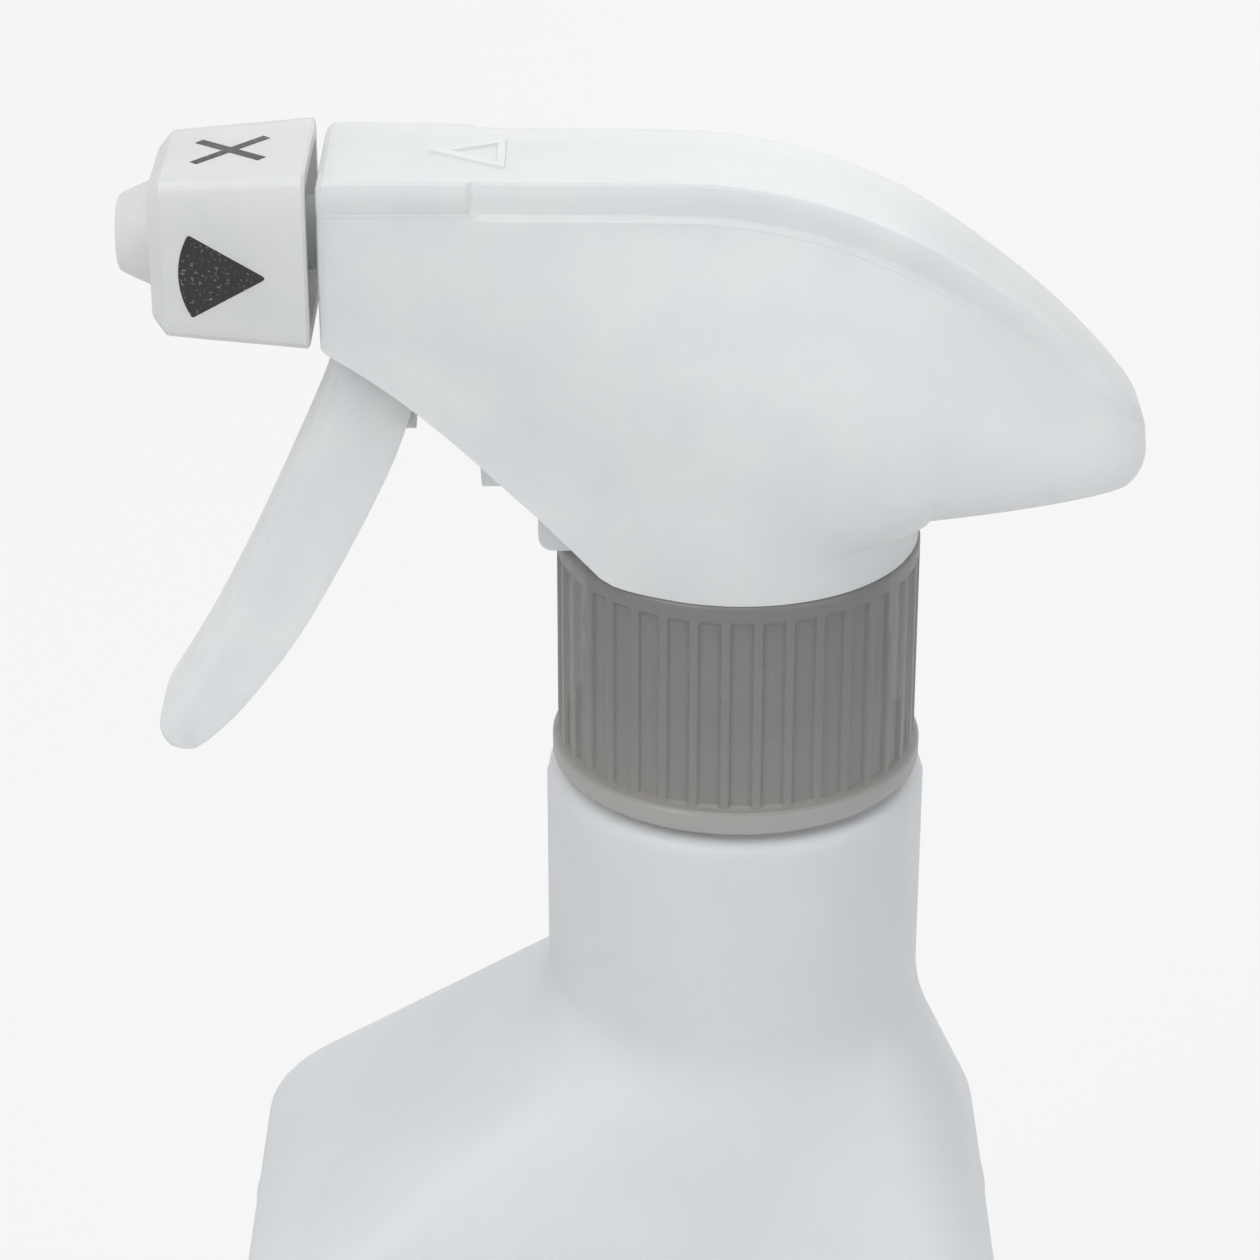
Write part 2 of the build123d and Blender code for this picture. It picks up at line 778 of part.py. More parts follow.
with BuildPart() as nozzle_insert:
    with BuildSketch(nozzle_axis.offset(-core_back)):
        Circle(core_radius)
    extrude(amount=core_back - core_front)
    with BuildSketch(nozzle_axis.offset(-core_back - core_stem)):
        Circle(tube_inner - press)
        Rectangle(2 * tube_inner, core_slot, mode=Mode.SUBTRACT)
    extrude(amount=core_stem)
    with BuildSketch(nozzle_axis.offset(-core_front - 0.8)):
        with PolarLocations(core_radius, 3):
            Rectangle(2 * core_radius - 1.2, core_slot)
    extrude(amount=0.8, mode=Mode.SUBTRACT)
nozzle_insert.part.label = "nozzle_insert"
export_step(nozzle_insert.part, "parts/nozzle_insert.step")

with BuildPart() as nozzle_seal:
    with BuildSketch(nozzle_axis.offset(-ring_x - ring_width / 2 + running)):
        Circle(tube_outer)
        Circle(ring_floor + running, mode=Mode.SUBTRACT)
    extrude(amount=ring_width - 2 * running)
nozzle_seal.part.label = "nozzle_seal"
export_step(nozzle_seal.part, "parts/nozzle_seal.step")

# ---------------------------------------------------------------- shroud
# Stations along X: top height and half width, then the widest height and half width, then
# the floor's height and half width. Heights are above the closure's rim.
stations = [
    (shroud_front, 61.5, 7.4, 50.0, 8.4, 18.0, 8.4),
    (-24.0, 61.6, 7.2, 42.0, 10.0, 18.0, 10.4),
    (-10.0, 61.3, 7.2, 36.0, 13.8, 18.0, 13.7),
    (2.0, 60.3, 7.1, 34.0, 16.8, 18.0, 16.9),
    (14.0, 56.4, 6.9, 34.0, 16.2, 22.0, 9.4),
    (24.0, 49.9, 6.5, 33.0, 13.6, 26.6, 8.0),
    (32.0, 43.4, 6.0, 32.8, 10.4, 27.6, 6.0),
    (38.4, 36.8, 5.0, 32.4, 7.4, 28.4, 4.0),
]
edge_drop = 1.6
edge_spread = 0.9


def shroud_section(station, inset, floor_inset):
    """One cross-section of the shroud at a station, drawn in by inset."""
    x, top, top_half, wide, wide_half, floor, floor_half = station
    top_z = rim_z + top - inset
    top_y = top_half - inset * 0.6
    with BuildSketch(Plane.YZ.offset(x)) as section:
        with BuildLine() as half:
            Polyline((0, top_z), (top_y, top_z), (top_y + edge_spread, top_z - edge_drop))
            Spline(
                (top_y + edge_spread, top_z - edge_drop),
                (wide_half - inset, rim_z + wide),
                (floor_half - inset, rim_z + floor + floor_inset),
            )
            Line((floor_half - inset, rim_z + floor + floor_inset), (0, rim_z + floor + floor_inset))
            mirror(half.line, about=Plane.YZ)
        make_face()
    return section.sketch


def side_outline():
    """The shroud's outline seen from the side: spine, tail, collar and open lower front."""
    with BuildSketch(Plane.XZ.offset(-2 * collar_radius)) as outline:
        with BuildLine():
            Line((shroud_front, rim_z + pad_z), (pad_end, rim_z + pad_z))
            Line((pad_end, rim_z + pad_z), (pad_end + 0.4, rim_z + spine_z))
            Spline(
                (pad_end + 0.4, rim_z + spine_z),
                (-4.0, rim_z + 60.6),
                (6.0, rim_z + 58.9),
                (13.6, rim_z + 56.0),
                (22.8, rim_z + 50.3),
                (32.1, rim_z + 42.8),
                (36.6, rim_z + 38.0),
            )
            Spline(
                (36.6, rim_z + 38.0),
                (37.9, rim_z + 33.0),
                (36.6, rim_z + 29.6),
                (33.0, rim_z + 27.9),
            )
            Spline(
                (33.0, rim_z + 27.9),
                (24.0, rim_z + 27.0),
                (collar_radius + 1.5, rim_z + 25.6),
                (collar_radius, rim_z + collar_bottom),
            )
            Line((collar_radius, rim_z + collar_bottom), (-11.2, rim_z + collar_bottom))
            Spline(
                (-11.2, rim_z + collar_bottom),
                (-18.5, rim_z + 30.2),
                (-29.3, rim_z + 39.8),
                (-36.0, rim_z + 44.3),
                (shroud_front, rim_z + 45.4),
            )
            Line((shroud_front, rim_z + 45.4), (shroud_front, rim_z + pad_z))
        make_face()
    return outline.sketch


first, *middle, last = stations
inner_stations = [(first[0] + shroud_face, *first[1:]), *middle]
inner_stations.append((36.2, 39.0, 5.4, 32.6, 8.2, 28.2, 4.6))

with BuildPart() as shroud_space:
    loft(sections=[shroud_section(s, shroud_wall, shroud_wall) for s in inner_stations])
    with BuildSketch(Plane.XY.offset(rim_z + collar_bottom)):
        Circle(collar_radius - collar_wall)
    extrude(amount=collar_height)

with BuildPart() as shroud:
    loft(sections=[shroud_section(s, 0, 0) for s in stations])
    with BuildSketch(Plane.XY.offset(rim_z + collar_bottom)):
        Circle(collar_radius)
    extrude(amount=collar_height)
    extrude(side_outline(), amount=4 * collar_radius, mode=Mode.INTERSECT)
    add(shroud_space.part, mode=Mode.SUBTRACT)
    with BuildSketch(nozzle_axis.offset(-shroud_front - shroud_face - 1)):
        Circle(tube_outer + thin_gap)
    extrude(amount=shroud_face + 2, mode=Mode.SUBTRACT)
shroud.part.label = "shroud"
export_step(shroud.part, "parts/shroud.step")
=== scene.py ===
import math

import bmesh
import bpy
import numpy as np
from mathutils import Matrix, Vector


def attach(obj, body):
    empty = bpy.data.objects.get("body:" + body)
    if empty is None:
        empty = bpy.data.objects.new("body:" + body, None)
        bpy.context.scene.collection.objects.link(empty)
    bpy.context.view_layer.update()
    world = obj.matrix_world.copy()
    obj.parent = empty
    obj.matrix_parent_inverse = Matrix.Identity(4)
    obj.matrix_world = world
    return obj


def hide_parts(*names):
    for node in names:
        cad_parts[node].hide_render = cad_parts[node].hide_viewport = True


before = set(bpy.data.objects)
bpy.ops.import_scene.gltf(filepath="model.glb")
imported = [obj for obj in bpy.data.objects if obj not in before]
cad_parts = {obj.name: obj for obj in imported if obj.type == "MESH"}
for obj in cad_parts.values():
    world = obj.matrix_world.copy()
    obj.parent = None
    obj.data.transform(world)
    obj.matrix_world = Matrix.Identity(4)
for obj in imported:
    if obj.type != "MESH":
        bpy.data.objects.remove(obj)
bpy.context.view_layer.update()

# All shapes below are in millimetres, in the CAD frame, and are scaled to metres as each mesh
# is made. The tables of heights count from the closure's rim.
MM = 0.001
RIM = 160.0
CLOSURE_HEIGHT = 23.5


# ---------------------------------------------------------------- curves and meshes
def smoothstep(low, high, value):
    t = min(1.0, max(0.0, (value - low) / (high - low)))
    return t * t * (3 - 2 * t)


def along(table, x):
    """A smooth curve through the (x, value) pairs of a table, read at x."""
    xs = [p[0] for p in table]
    ys = [p[1] for p in table]
    if x <= xs[0]:
        return ys[0]
    if x >= xs[-1]:
        return ys[-1]
    k = max(i for i in range(len(xs) - 1) if xs[i] <= x)
    slope = [(ys[i + 1] - ys[i]) / (xs[i + 1] - xs[i]) for i in range(len(xs) - 1)]

    def tangent(i):
        if i == 0:
            return slope[0]
        if i == len(xs) - 1:
            return slope[-1]
        a, b = slope[i - 1], slope[i]
        return 0.0 if a * b <= 0 else 2 * a * b / (a + b)

    h = xs[k + 1] - xs[k]
    t = (x - xs[k]) / h
    return (
        (2 * t**3 - 3 * t**2 + 1) * ys[k]
        + (t**3 - 2 * t**2 + t) * h * tangent(k)
        + (3 * t**2 - 2 * t**3) * ys[k + 1]
        + (t**3 - t**2) * h * tangent(k + 1)
    )


def through(points, count):
    """Evenly spread points on a smooth curve through the given points."""
    pts = [np.array(p, float) for p in points]
    dense = []
    for i in range(len(pts) - 1):
        before = pts[i - 1] if i else 2 * pts[0] - pts[1]
        after = pts[i + 2] if i + 2 < len(pts) else 2 * pts[-1] - pts[-2]
        a, b = pts[i], pts[i + 1]
        for t in np.linspace(0, 1, 24, endpoint=False):
            dense.append(
                0.5
                * (
                    2 * a
                    + (b - before) * t
                    + (2 * before - 5 * a + 4 * b - after) * t**2
                    + (3 * a - before - 3 * b + after) * t**3
                )
            )
    dense.append(pts[-1])
    dense = np.array(dense)
    length = np.concatenate([[0], np.cumsum(np.linalg.norm(np.diff(dense, axis=0), axis=1))])
    where = np.linspace(0, length[-1], count)
    return np.stack([np.interp(where, length, dense[:, j]) for j in range(dense.shape[1])], 1)


def bezier(a, b, c, d, count):
    """Points on a cubic curve, without its first point."""
    t = np.linspace(0, 1, count + 1)[1:, None]
    a, b, c, d = (np.array(p, float) for p in (a, b, c, d))
    return (1 - t) ** 3 * a + 3 * (1 - t) ** 2 * t * b + 3 * (1 - t) * t**2 * c + t**3 * d


def new_piece(name, points, faces):
    """A mesh object from points in millimetres."""
    mesh = bpy.data.meshes.new(name)
    mesh.from_pydata([tuple(float(c) * MM for c in p) for p in points], [], faces)
    mesh.validate()
    made = bmesh.new()
    made.from_mesh(mesh)
    bmesh.ops.remove_doubles(made, verts=made.verts, dist=0.004 * MM)
    bmesh.ops.recalc_face_normals(made, faces=made.faces)
    made.to_mesh(mesh)
    made.free()
    piece = bpy.data.objects.new(name, mesh)
    bpy.context.scene.collection.objects.link(piece)
    return piece


def settle(piece, sharp=38):
    """Applies a piece's modifiers and shades it smooth between its sharp edges."""
    bpy.context.view_layer.update()
    shaped = piece.evaluated_get(bpy.context.evaluated_depsgraph_get())
    mesh = bpy.data.meshes.new_from_object(shaped)
    piece.modifiers.clear()
    piece.data = mesh
    mesh.polygons.foreach_set("use_smooth", [True] * len(mesh.polygons))
    mesh.set_sharp_from_angle(angle=math.radians(sharp))
    mesh.update()
    return piece


def thicken(piece, thickness, even=True):
    shell = piece.modifiers.new("wall", "SOLIDIFY")
    shell.thickness = thickness * MM
    shell.offset = -1
    shell.use_even_offset = even


def soften(piece, width, segments=3, angle=30):
    bevel = piece.modifiers.new("edges", "BEVEL")
    bevel.width = width * MM
    bevel.segments = segments
    bevel.limit_method = "ANGLE"
    bevel.angle_limit = math.radians(angle)
    bevel.use_clamp_overlap = True


def rings_mesh(name, rings, closed_loop=False, cap_first=False, cap_last=False):
    """A mesh between rings that have the same number of points."""
    count = len(rings[0])
    points = [p for ring in rings for p in ring]
    faces = []
    steps = len(rings) if closed_loop else len(rings) - 1
    for i in range(steps):
        j = (i + 1) % len(rings)
        for k in range(count):
            m = (k + 1) % count
            faces.append((i * count + k, i * count + m, j * count + m, j * count + k))
    for wanted, ring in ((cap_first, 0), (cap_last, len(rings) - 1)):
        if wanted:
            faces.append(tuple(ring * count + k for k in range(count)))
    return new_piece(name, points, faces)


def plate(name, outline, half, middle=0.0):
    """A flat outline in the plane of X and Z, as thick as twice half, centred on Y = middle."""
    rings = [[(x, middle + side * half, z) for x, z in outline] for side in (-1, 1)]
    return rings_mesh(name, rings, cap_first=True, cap_last=True)


def helix_ridge(name, radius, turns, base, pitch, depth, root, crest, inward):
    """A thread's ridge that fades in and out at its ends."""
    side = -1 if inward else 1
    steps = int(turns * 64)
    rings = []
    for i in range(steps + 1):
        share = i / steps
        fade = smoothstep(0, 0.06, share) * smoothstep(0, 0.06, 1 - share)
        angle = 2 * math.pi * turns * share
        z = base + pitch * turns * share
        reach = radius + side * (depth * fade)
        foot = radius - side * 0.35
        ring = []
        for r, dz in ((foot, -root / 2), (reach, -crest / 2), (reach, crest / 2), (foot, root / 2)):
            ring.append((r * math.cos(angle), r * math.sin(angle), z + dz))
        rings.append(ring)
    piece = rings_mesh(name, rings, cap_first=True, cap_last=True)
    soften(piece, 0.2, 2)
    return settle(piece)


# ---------------------------------------------------------------- materials
class Nodes:
    """A material's node tree, with short calls for the nodes used here."""

    def __init__(self, name):
        self.material = bpy.data.materials.new(name)
        self.material.use_nodes = True
        self.tree = self.material.node_tree
        self.tree.nodes.clear()
        self.place = self.add("ShaderNodeTexCoord").outputs["Object"]

    def add(self, kind, **values):
        node = self.tree.nodes.new(kind)
        for key, value in values.items():
            setattr(node, key, value)
        return node

    def join(self, source, target):
        self.tree.links.new(source, target)

    def noise(self, scale, detail=3.0, rough=0.55):
        node = self.add("ShaderNodeTexNoise")
        node.inputs["Scale"].default_value = scale
        node.inputs["Detail"].default_value = detail
        node.inputs["Roughness"].default_value = rough
        self.join(self.place, node.inputs["Vector"])
        return node.outputs["Fac"]

    def ramp(self, source, stops):
        node = self.add("ShaderNodeValToRGB")
        elements = node.color_ramp.elements
        while len(elements) < len(stops):
            elements.new(0.5)
        for element, (position, colour) in zip(elements, stops):
            element.position = position
            element.color = (*colour, 1.0)
        self.join(source, node.inputs["Fac"])
        return node.outputs["Color"]

    def span(self, source, low, high, to_low, to_high):
        node = self.add("ShaderNodeMapRange")
        limits = {"From Min": low, "From Max": high, "To Min": to_low, "To Max": to_high}
        for key, value in limits.items():
            node.inputs[key].default_value = value
        self.join(source, node.inputs["Value"])
        return node.outputs["Result"]

    def multiply(self, a, b):
        node = self.add("ShaderNodeMix", data_type="RGBA", blend_type="MULTIPLY")
        node.inputs[0].default_value = 1.0
        self.join(a, node.inputs[6])
        self.join(b, node.inputs[7])
        return node.outputs[2]

    def bump(self, source, distance, strength=1.0):
        node = self.add("ShaderNodeBump")
        node.inputs["Strength"].default_value = strength
        node.inputs["Distance"].default_value = distance * MM
        self.join(source, node.inputs["Height"])
        return node.outputs["Normal"]

    def let_light_through(self, shader, colour, through_share, clear_share):
        """Mixes in light that comes through the wall, first scattered and then straight."""
        glow = self.add("ShaderNodeBsdfTranslucent")
        if isinstance(colour, tuple):
            glow.inputs["Color"].default_value = (*colour, 1.0)
        else:
            self.join(colour, glow.inputs["Color"])
        clear = self.add("ShaderNodeBsdfTransparent")
        for share, behind in ((through_share, glow), (clear_share, clear)):
            mix = self.add("ShaderNodeMixShader")
            mix.inputs[0].default_value = share
            self.join(shader, mix.inputs[1])
            self.join(behind.outputs[0], mix.inputs[2])
            shader = mix.outputs[0]
        return shader

    def output(self, shader):
        end = self.add("ShaderNodeOutputMaterial")
        self.join(shader, end.inputs["Surface"])
        return self.material


def plastic(name, pale, deep, rough, through_share=0.0, clear_share=0.0, grain=0.02, mottle=140.0):
    """Moulded plastic: cloudy colour, uneven gloss, a fine grain, and light through the wall."""
    n = Nodes(name)
    cloud = n.noise(mottle, 3.0)
    fine = n.noise(2600.0, 2.0)
    colour = n.ramp(cloud, [(0.35, deep), (0.65, pale)])
    normal = n.bump(fine, grain)
    body = n.add("ShaderNodeBsdfPrincipled")
    n.join(colour, body.inputs["Base Color"])
    n.join(n.span(cloud, 0.3, 0.7, *rough), body.inputs["Roughness"])
    n.join(normal, body.inputs["Normal"])
    body.inputs["IOR"].default_value = 1.5
    shader = body.outputs[0]
    if through_share:
        shader = n.let_light_through(shader, colour, through_share, clear_share)
    return n.output(shader)


def closure_plastic(name):
    """Grey translucent plastic: cooler and darker at its top, warmer lower down, and pale in its foot band,
    where the paleness is painted light showing through the thinner band.
    """
    n = Nodes(name)
    split = n.add("ShaderNodeSeparateXYZ")
    n.join(n.place, split.inputs[0])
    height = split.outputs["Z"]
    up = n.span(height, RIM * MM, (RIM + CLOSURE_HEIGHT) * MM, 0.0, 1.0)
    # the pale stops over the foot band are painted light, standing in for light that shows through its
    # thinner wall
    height_tone_and_painted_light = n.ramp(up, [(0.0, (0.62, 0.60, 0.575)), (0.075, (0.60, 0.58, 0.555)), (0.10, (0.40, 0.385, 0.365)),
                       (0.45, (0.355, 0.35, 0.338)), (1.0, (0.315, 0.318, 0.312))])
    cloud = n.noise(60.0, 3.0)
    uneven = n.ramp(cloud, [(0.3, (0.94, 0.94, 0.94)), (0.7, (1.0, 1.0, 1.0))])
    colour = n.multiply(height_tone_and_painted_light, uneven)
    body = n.add("ShaderNodeBsdfPrincipled")
    n.join(colour, body.inputs["Base Color"])
    n.join(n.span(cloud, 0.3, 0.7, 0.20, 0.30), body.inputs["Roughness"])
    n.join(n.bump(n.noise(2600.0, 2.0), 0.008), body.inputs["Normal"])
    body.inputs["IOR"].default_value = 1.5
    return n.output(n.let_light_through(body.outputs[0], (0.52, 0.49, 0.46), 0.40, 0.16))


def metal(name, pale, deep, rough):
    n = Nodes(name)
    cloud = n.noise(700.0, 3.0)
    body = n.add("ShaderNodeBsdfPrincipled")
    n.join(n.ramp(cloud, [(0.3, deep), (0.7, pale)]), body.inputs["Base Color"])
    n.join(n.span(cloud, 0.3, 0.7, *rough), body.inputs["Roughness"])
    n.join(n.bump(n.noise(4000.0, 2.0), 0.01), body.inputs["Normal"])
    body.inputs["Metallic"].default_value = 1.0
    return n.output(body.outputs[0])


def printed(name):
    """Dark pad-printed ink with pinholes."""
    n = Nodes(name)
    speck = n.noise(3200.0, 2.0, 0.6)
    body = n.add("ShaderNodeBsdfPrincipled")
    n.join(
        n.ramp(speck, [(0.60, (0.017, 0.014, 0.012)), (0.70, (0.16, 0.15, 0.14))]),
        body.inputs["Base Color"],
    )
    n.join(n.span(n.noise(500.0), 0.3, 0.7, 0.35, 0.55), body.inputs["Roughness"])
    n.join(n.bump(speck, 0.01), body.inputs["Normal"])
    return n.output(body.outputs[0])


MILKY = plastic("milky_shroud", (0.86, 0.865, 0.86), (0.825, 0.835, 0.835), (0.34, 0.46), 0.32, 0.10)
MILKY_LEVER = plastic("milky_lever", (0.87, 0.875, 0.87), (0.83, 0.84, 0.84), (0.32, 0.42), 0.30, 0.16)
MILKY_BOTTLE = plastic("milky_bottle", (0.84, 0.85, 0.855), (0.81, 0.82, 0.825), (0.38, 0.52), 0.34, 0.08,
                       0.03, 60.0)
NOZZLE_WHITE = plastic("nozzle_white", (0.83, 0.83, 0.825), (0.79, 0.795, 0.79), (0.30, 0.42), 0.30, 0.08)
CLOSURE_GREY = closure_plastic("closure_grey")
PUMP_WHITE = plastic("pump_white", (0.66, 0.68, 0.68), (0.60, 0.62, 0.625), (0.35, 0.5))
PISTON_GREY = plastic("piston_white", (0.62, 0.62, 0.60), (0.55, 0.55, 0.54), (0.35, 0.5))
TUBE_CLEAR = plastic("tube_natural", (0.68, 0.70, 0.69), (0.62, 0.64, 0.64), (0.25, 0.38), 0.3, 0.15)
SEAL_SOFT = plastic("seal_soft", (0.52, 0.50, 0.46), (0.44, 0.42, 0.38), (0.55, 0.7), grain=0.03)
SPRING_STEEL = metal("spring_steel", (0.66, 0.65, 0.63), (0.52, 0.51, 0.50), (0.22, 0.36))
BALL_STEEL = metal("ball_steel", (0.72, 0.72, 0.72), (0.6, 0.6, 0.6), (0.08, 0.16))
INK = printed("ink_black")


def dress(piece, material):
    piece.data.materials.clear()
    piece.data.materials.append(material)


def put(piece, material, body, slot, *nodes):
    dress(piece, material)
    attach(piece, body)
    if nodes:
        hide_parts(*nodes)


# ---------------------------------------------------------------- bottle
BODY_X, BODY_Y, BODY_MIDDLE, BODY_CORNER = 75.0, 50.0, -11.2, 10.0
SHOULDER, BARREL_LOW, BARREL_TOP, LIP = 109.5, 134.0, 159.0, 177.0
BARREL_R, NECK_R, NECK_BORE = 18.2, 13.1, 10.9
SIDE_POINTS = 14


def oblong(inset):
    """The body's outline in plan: four straight sides and four corner arcs."""
    points = []
    half_x, half_y = BODY_X / 2 - inset, BODY_Y / 2 - inset
    r = max(BODY_CORNER - inset, 0.8)
    corners = ((1, 1, 0), (-1, 1, 90), (-1, -1, 180), (1, -1, 270))
    for index, (sx, sy, start) in enumerate(corners):
        cx, cy = sx * (half_x - r), sy * (half_y - r)
        for a in np.linspace(start, start + 90, SIDE_POINTS, endpoint=False):
            points.append((cx + r * math.cos(math.radians(a)), cy + r * math.sin(math.radians(a))))
        nx, ny, _ = corners[(index + 1) % 4]
        ex, ey = nx * (half_x - r), ny * (half_y - r)
        end = math.radians(start + 90)
        begin = (cx + r * math.cos(end), cy + r * math.sin(end))
        stop = (ex + r * math.cos(end), ey + r * math.sin(end))
        for t in np.linspace(0, 1, SIDE_POINTS, endpoint=False):
            points.append((begin[0] + (stop[0] - begin[0]) * t, begin[1] + (stop[1] - begin[1]) * t))
    return [(x + BODY_MIDDLE, y) for x, y in points]


def barrel(radius):
    """A circle whose points stand over the same sides and corners of the oblong."""
    half_turn = 9.0
    corner = math.degrees(math.atan2(BODY_Y, BODY_X))
    middles = (corner, 180 - corner, 180 + corner, 360 - corner)
    points = []
    for index, middle in enumerate(middles):
        following = middles[(index + 1) % 4] + (360 if index == 3 else 0)
        spans = ((middle - half_turn, middle + half_turn), (middle + half_turn, following - half_turn))
        for start, stop in spans:
            for a in np.linspace(start, stop, SIDE_POINTS, endpoint=False):
                points.append((radius * math.cos(math.radians(a)), radius * math.sin(math.radians(a))))
    return points


def bottle_ring(height, inset=0.0, ridge=0.0):
    """The bottle's outline at one height; a soft rounding stands at each end of the shoulder."""
    slope = (height - SHOULDER) / (BARREL_LOW - SHOULDER)
    soft = 0.10
    low = 0.25 * (max(0.0, slope + soft) ** 2) / soft if abs(slope) < soft else max(0.0, slope)
    late = 1 - slope
    high = 0.25 * (max(0.0, late + soft) ** 2) / soft if abs(late) < soft else max(0.0, late)
    share = min(low, 1.0) if slope < 0.5 else 1.0 - min(high, 1.0)
    ring = []
    for (ax, ay), (bx, by) in zip(oblong(inset), barrel(BARREL_R - inset)):
        x, y = ax + (bx - ax) * share, ay + (by - ay) * share
        centre = BODY_MIDDLE * (1 - share)
        lift = ridge * math.exp(-((y / 0.45) ** 2))
        x += lift if x > centre else -lift
        ring.append((x, y, height))
    return ring


def circle_ring(radius, height):
    return [(x, y, height) for x, y in barrel(radius)]


def make_bottle():
    rings = []
    inner_foot = oblong(5.0)
    rings.append([(BODY_MIDDLE + (x - BODY_MIDDLE) * 0.02, y * 0.02, 2.0) for x, y in inner_foot])
    for share in (0.35, 0.7, 0.92):
        rings.append([(BODY_MIDDLE + (x - BODY_MIDDLE) * share, y * share, 2.0) for x, y in inner_foot])
    rings.append([(x, y, 1.8) for x, y in oblong(5.2)])
    rings.append([(x, y, 0.5) for x, y in oblong(4.8)])
    rings.append([(x, y, 0.0) for x, y in oblong(4.0)])
    for a in (5, 25, 45, 65, 85):
        turn = math.radians(a)
        rings.append(bottle_ring(2.0 - 2.0 * math.cos(turn), 2.0 - 2.0 * math.sin(turn)))
    heights = list(np.linspace(3.0, 105.0, 22)) + list(np.linspace(106.0, 113.5, 11))
    heights += list(np.linspace(115.0, 130.0, 9)) + list(np.linspace(131.0, 137.0, 9))
    heights += list(np.linspace(139.0, BARREL_TOP - 1.6, 8))
    for height in heights:
        rings.append(bottle_ring(height, 0.0, 0.14))
    for a in (20, 45, 70, 90):
        turn = math.radians(a)
        inset = 1.5 * (1 - math.cos(turn))
        rings.append(circle_ring(BARREL_R - inset, BARREL_TOP - 1.5 + 1.5 * math.sin(turn)))
    rings.append(circle_ring(NECK_R + 0.5, BARREL_TOP))
    rings.append(circle_ring(NECK_R + 0.12, BARREL_TOP + 0.15))
    rings.append(circle_ring(NECK_R, BARREL_TOP + 0.6))
    rings.append(circle_ring(NECK_R, LIP - 0.5))
    rings.append(circle_ring(NECK_R - 0.15, LIP - 0.12))
    rings.append(circle_ring(NECK_R - 0.5, LIP))
    # back down inside the neck, and the inner wall
    rings.append(circle_ring(NECK_BORE + 0.3, LIP))
    rings.append(circle_ring(NECK_BORE, LIP - 0.3))
    rings.append(circle_ring(NECK_BORE, BARREL_TOP - 2.0))
    rings.append(circle_ring(BARREL_R - 1.9, BARREL_TOP - 1.4))
    rings.append(circle_ring(BARREL_R - 1.2, BARREL_TOP - 2.4))
    for height in (150.0, 140.0, 136.0, 133.5, 131.0, 122.0, 113.0, 109.5, 106.0, 80.0, 40.0, 8.0):
        rings.append(bottle_ring(height, 1.2))
    rings.append(bottle_ring(5.0, 1.9))
    rings.append([(x, y, 3.4) for x, y in oblong(3.4)])
    for share in (0.9, 0.5, 0.02):
        rings.append([(BODY_MIDDLE + (x - BODY_MIDDLE) * share, y * share, 3.2) for x, y in inner_foot])
    piece = rings_mesh("bottle_shell", rings, cap_first=True, cap_last=True)
    return settle(piece, 30)


bottle = make_bottle()
put(bottle, MILKY_BOTTLE, "bottle", "bottle_hdpe", "bottle")
thread_low = RIM + 4.5
bottle_thread = helix_ridge("bottle_thread", NECK_R, 1.75, thread_low, 4.2, 1.1, 1.7, 0.9, False)
put(bottle_thread, MILKY_BOTTLE, "bottle", "bottle_hdpe")


# ---------------------------------------------------------------- closure ring
PANELS, LUGS = 36, 24
CLOSURE_SIDE = [(0.0, 17.55), (0.25, 17.75), (1.75, 17.75), (2.0, 17.62), (2.2, 17.35), (3.2, 17.25),
                (23.5, 17.22)]


def closure_radius(angle, z):
    """The closure's outer radius: recessed panels over a flared foot."""
    pitch = 2 * math.pi / PANELS
    off = abs((angle + pitch / 2) % pitch - pitch / 2)
    half = math.radians(3.5)
    edge = math.radians(0.32)
    across = 1 - smoothstep(half - edge, half + edge, off)
    up = smoothstep(2.5, 2.8, z) * (1 - smoothstep(21.5, 21.9, z))
    rounding = 0.4 * (1 - math.sqrt(max(0.0, 1 - max(0.0, (z - 23.1) / 0.4) ** 2)))
    return along(CLOSURE_SIDE, z) - 0.35 * across * up - rounding


def make_closure():
    angles = []
    pitch = 2 * math.pi / PANELS
    steps = [-5.0, -4.3, -3.9, -3.65, -3.45, -3.2, -2.4, -0.8, 0.8, 2.4, 3.2, 3.45, 3.65, 3.9, 4.3]
    for panel in range(PANELS):
        angles += [panel * pitch + math.radians(s) for s in steps]
    levels = [0.0, 0.12, 0.25, 0.9, 1.6, 1.75, 1.9, 2.05, 2.2, 2.4, 2.55, 2.65, 2.8, 3.0, 4.0, 7.0, 11.0,
              15.0, 19.0, 21.4, 21.6, 21.75, 21.9, 22.3, 23.0, 23.25, 23.4, 23.5]
    rings = []
    for z in levels:
        radii = [closure_radius(a, z) for a in angles]
        rings.append([(r * math.cos(a), r * math.sin(a), RIM + z) for r, a in zip(radii, angles)])

    def inner(radius, z):
        return [(radius * math.cos(a), radius * math.sin(a), RIM + z) for a in angles]

    def lugged(z, depth):
        """The skirt's inner wall, with square lugs that stand inward."""
        ring = []
        turn = 2 * math.pi / LUGS
        for a in angles:
            off = abs((a + turn / 2) % turn - turn / 2)
            r = 16.5 - depth * (1 - smoothstep(math.radians(3.3), math.radians(4.1), off))
            ring.append((r * math.cos(a), r * math.sin(a), RIM + z))
        return ring

    # the hole in the top, the bore with its step for the lugs, and the foot
    rings += [inner(13.2, 23.5), inner(12.9, 23.4), inner(12.7, 23.1), inner(12.7, 21.8), inner(12.9, 21.5)]
    rings += [inner(14.3, 21.5), inner(14.5, 21.2), inner(14.5, 3.8), lugged(3.5, 1.2), lugged(3.3, 1.2)]
    rings += [lugged(0.6, 1.2), lugged(0.4, 1.0), lugged(0.35, 0.0), inner(16.5, 0.15), inner(16.7, 0.0)]
    piece = rings_mesh("closure_shell", rings, closed_loop=True)
    return settle(piece, 40)


